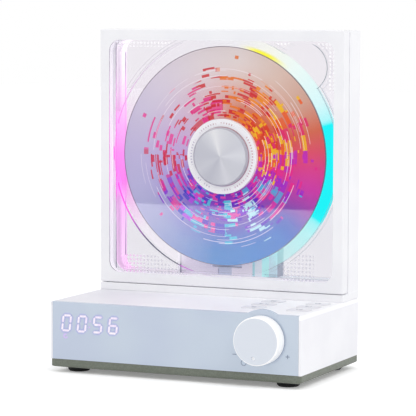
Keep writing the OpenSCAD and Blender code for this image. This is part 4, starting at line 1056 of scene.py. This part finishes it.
def key_signs():
    """The sign of each key, as outlines about the key's middle."""
    mm = MM
    line = 0.4 * mm
    return {
        "play": [triangle(-1.2 * mm, 0, 2.6 * mm), box_outline(1.2 * mm, 0, line, 2.6 * mm),
                 box_outline(2.3 * mm, 0, line, 2.6 * mm)],
        "stop": [box_outline(0, 0, 2.4 * mm, 2.4 * mm)],
        "previous": [triangle(0.6 * mm, 0, 2.4 * mm, -1), box_outline(-1.2 * mm, 0, line, 2.4 * mm)],
        "next": [triangle(-0.6 * mm, 0, 2.4 * mm), box_outline(1.2 * mm, 0, line, 2.4 * mm)],
        "mode": [box_outline(0, z * mm, 3.2 * mm, line) for z in (-1, 0, 1)],
        "repeat": [arc_band(0, 0, 1.4 * mm, line, math.radians(60), math.radians(290)),
                   triangle(0.9 * mm, 1.2 * mm, 1.1 * mm)],
    }


def make_key_signs():
    """A faint grey sign on each key's top."""
    ink = print_ink("Grey_Key_Print", "#a9adb8")
    for name, outlines in key_signs().items():
        low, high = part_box("key_" + name)
        middle = (low + high) / 2

        def on_key(u, v, lift, middle=middle, top=high.z):
            return (middle.x + u, middle.y + v, top + lift)

        thin_piece("sign_" + name, outlines, on_key, name + "_key", ink)


make_display()
make_fascia_marks()
make_key_signs()


# Studio

WORLD_LEVEL = 0.82
TABLE_LIFT = 0.24
FLOOR_FRONT = -0.885
FLOOR_REACH = 4.0
CARD_HALF = 1.2
CARD_TOP = 0.9
LAMP_AIM = (0, 0, 0.08)

# The camera that the photograph's straight edges and the disc fit, angles in radians
CAMERA_PLACE = (0.50063, -1.11157, 0.19341)
CAMERA_YAW = 0.420761755
CAMERA_PITCH = 0.0863785208
CAMERA_ROLL = 0.0028373756
LENS = 198.08
SENSOR = 36.0


def studio_world():
    """White beyond the set for the eye and for mirrors, and a softer level for the light it gives."""
    world = bpy.data.worlds.new("White_Studio")
    bpy.context.scene.world = world
    world.use_nodes = True
    tree = world.node_tree
    tree.nodes.clear()
    path = add(tree, "LightPath").outputs
    seen = maths(tree, "MAXIMUM", path["Is Camera Ray"], path["Is Glossy Ray"])
    seen = maths(tree, "MAXIMUM", seen, path["Is Transmission Ray"])
    level = step(tree, seen, 0.0, 1.0, WORLD_LEVEL, 1.0)
    sky = add(tree, "Background", {"Color": linear("#ffffff"), "Strength": level}).outputs[0]
    add(tree, "OutputWorld", {"Surface": sky})


def plain_object(name, vertices, faces, material):
    mesh = bpy.data.meshes.new(name)
    mesh.from_pydata(vertices, [], faces)
    mesh.update()
    made = bpy.data.objects.new(name, mesh)
    made.data.materials.append(material)
    bpy.context.scene.collection.objects.link(made)
    return made


def studio_floor():
    """A matt white table that keeps the object's shadow and ends in front of the camera's foot."""
    made, tree = new_material("White_Table")
    path = add(tree, "LightPath").outputs
    seen = maths(tree, "MAXIMUM", path["Is Camera Ray"], path["Is Glossy Ray"])
    seen = maths(tree, "MAXIMUM", seen, path["Is Transmission Ray"])
    inputs = {"Base Color": linear("#fdfdfe"), "Roughness": 0.9, "Specular IOR Level": 0.1}
    inputs["Emission Color"] = linear("#ffffff")
    inputs["Emission Strength"] = maths(tree, "MULTIPLY", seen, TABLE_LIFT)
    output(tree, add(tree, "BsdfPrincipled", inputs).outputs[0])
    far = FLOOR_REACH
    corners = [(-far, FLOOR_FRONT, 0), (far, FLOOR_FRONT, 0), (far, far, 0), (-far, far, 0)]
    plain_object("table", corners, [(0, 1, 2, 3)], made)


def dark_card():
    """A black card beyond the table's edge, which only mirrors see."""
    made, tree = new_material("Black_Card")
    output(tree, add(tree, "BsdfDiffuse", {"Color": linear("#2c2c30")}).outputs[0])
    y = FLOOR_FRONT - 0.002
    x, top = CARD_HALF, CARD_TOP
    corners = [(-x, y, 0), (x, y, 0), (x, y, top), (-x, y, top)]
    card = plain_object("card", corners, [(0, 1, 2, 3)], made)
    card.visible_camera = False
    card.visible_diffuse = False
    card.visible_shadow = False
    card.visible_transmission = False


def soft_lamp(name, place_at, aim, size, power):
    data = bpy.data.lights.new(name, "AREA")
    data.shape = "SQUARE"
    data.size = size
    data.energy = power
    lamp = bpy.data.objects.new(name, data)
    bpy.context.scene.collection.objects.link(lamp)
    lamp.location = place_at
    lamp.rotation_mode = "QUATERNION"
    lamp.rotation_quaternion = (Vector(aim) - Vector(place_at)).to_track_quat("-Z", "Y")
    return lamp


def studio_camera():
    """A long lens a little to the right of the object and above it."""
    yaw, pitch, roll = CAMERA_YAW, CAMERA_PITCH, CAMERA_ROLL
    ahead = Vector((-math.sin(yaw) * math.cos(pitch), math.cos(yaw) * math.cos(pitch), -math.sin(pitch)))
    right = Vector((math.cos(yaw), math.sin(yaw), 0))
    up = right.cross(ahead)
    right_r = math.cos(roll) * right + math.sin(roll) * up
    up_r = -math.sin(roll) * right + math.cos(roll) * up
    data = bpy.data.cameras.new("Photo_Camera")
    data.sensor_width = SENSOR
    data.lens = LENS
    data.clip_start = 0.05
    data.clip_end = 20
    camera = bpy.data.objects.new("Photo_Camera", data)
    bpy.context.scene.collection.objects.link(camera)
    turn = Matrix((right_r, up_r, -ahead)).transposed().to_4x4()
    camera.matrix_world = Matrix.Translation(CAMERA_PLACE) @ turn
    bpy.context.scene.camera = camera


studio_world()
studio_floor()
dark_card()
soft_lamp("Key_Lamp", (0.9, -0.5, 1.3), LAMP_AIM, 0.9, 5.4)
soft_lamp("Fill_Lamp", (-1.0, -0.9, 0.9), LAMP_AIM, 1.0, 2.2)
studio_camera()
bpy.context.scene.view_settings.view_transform = "Standard"
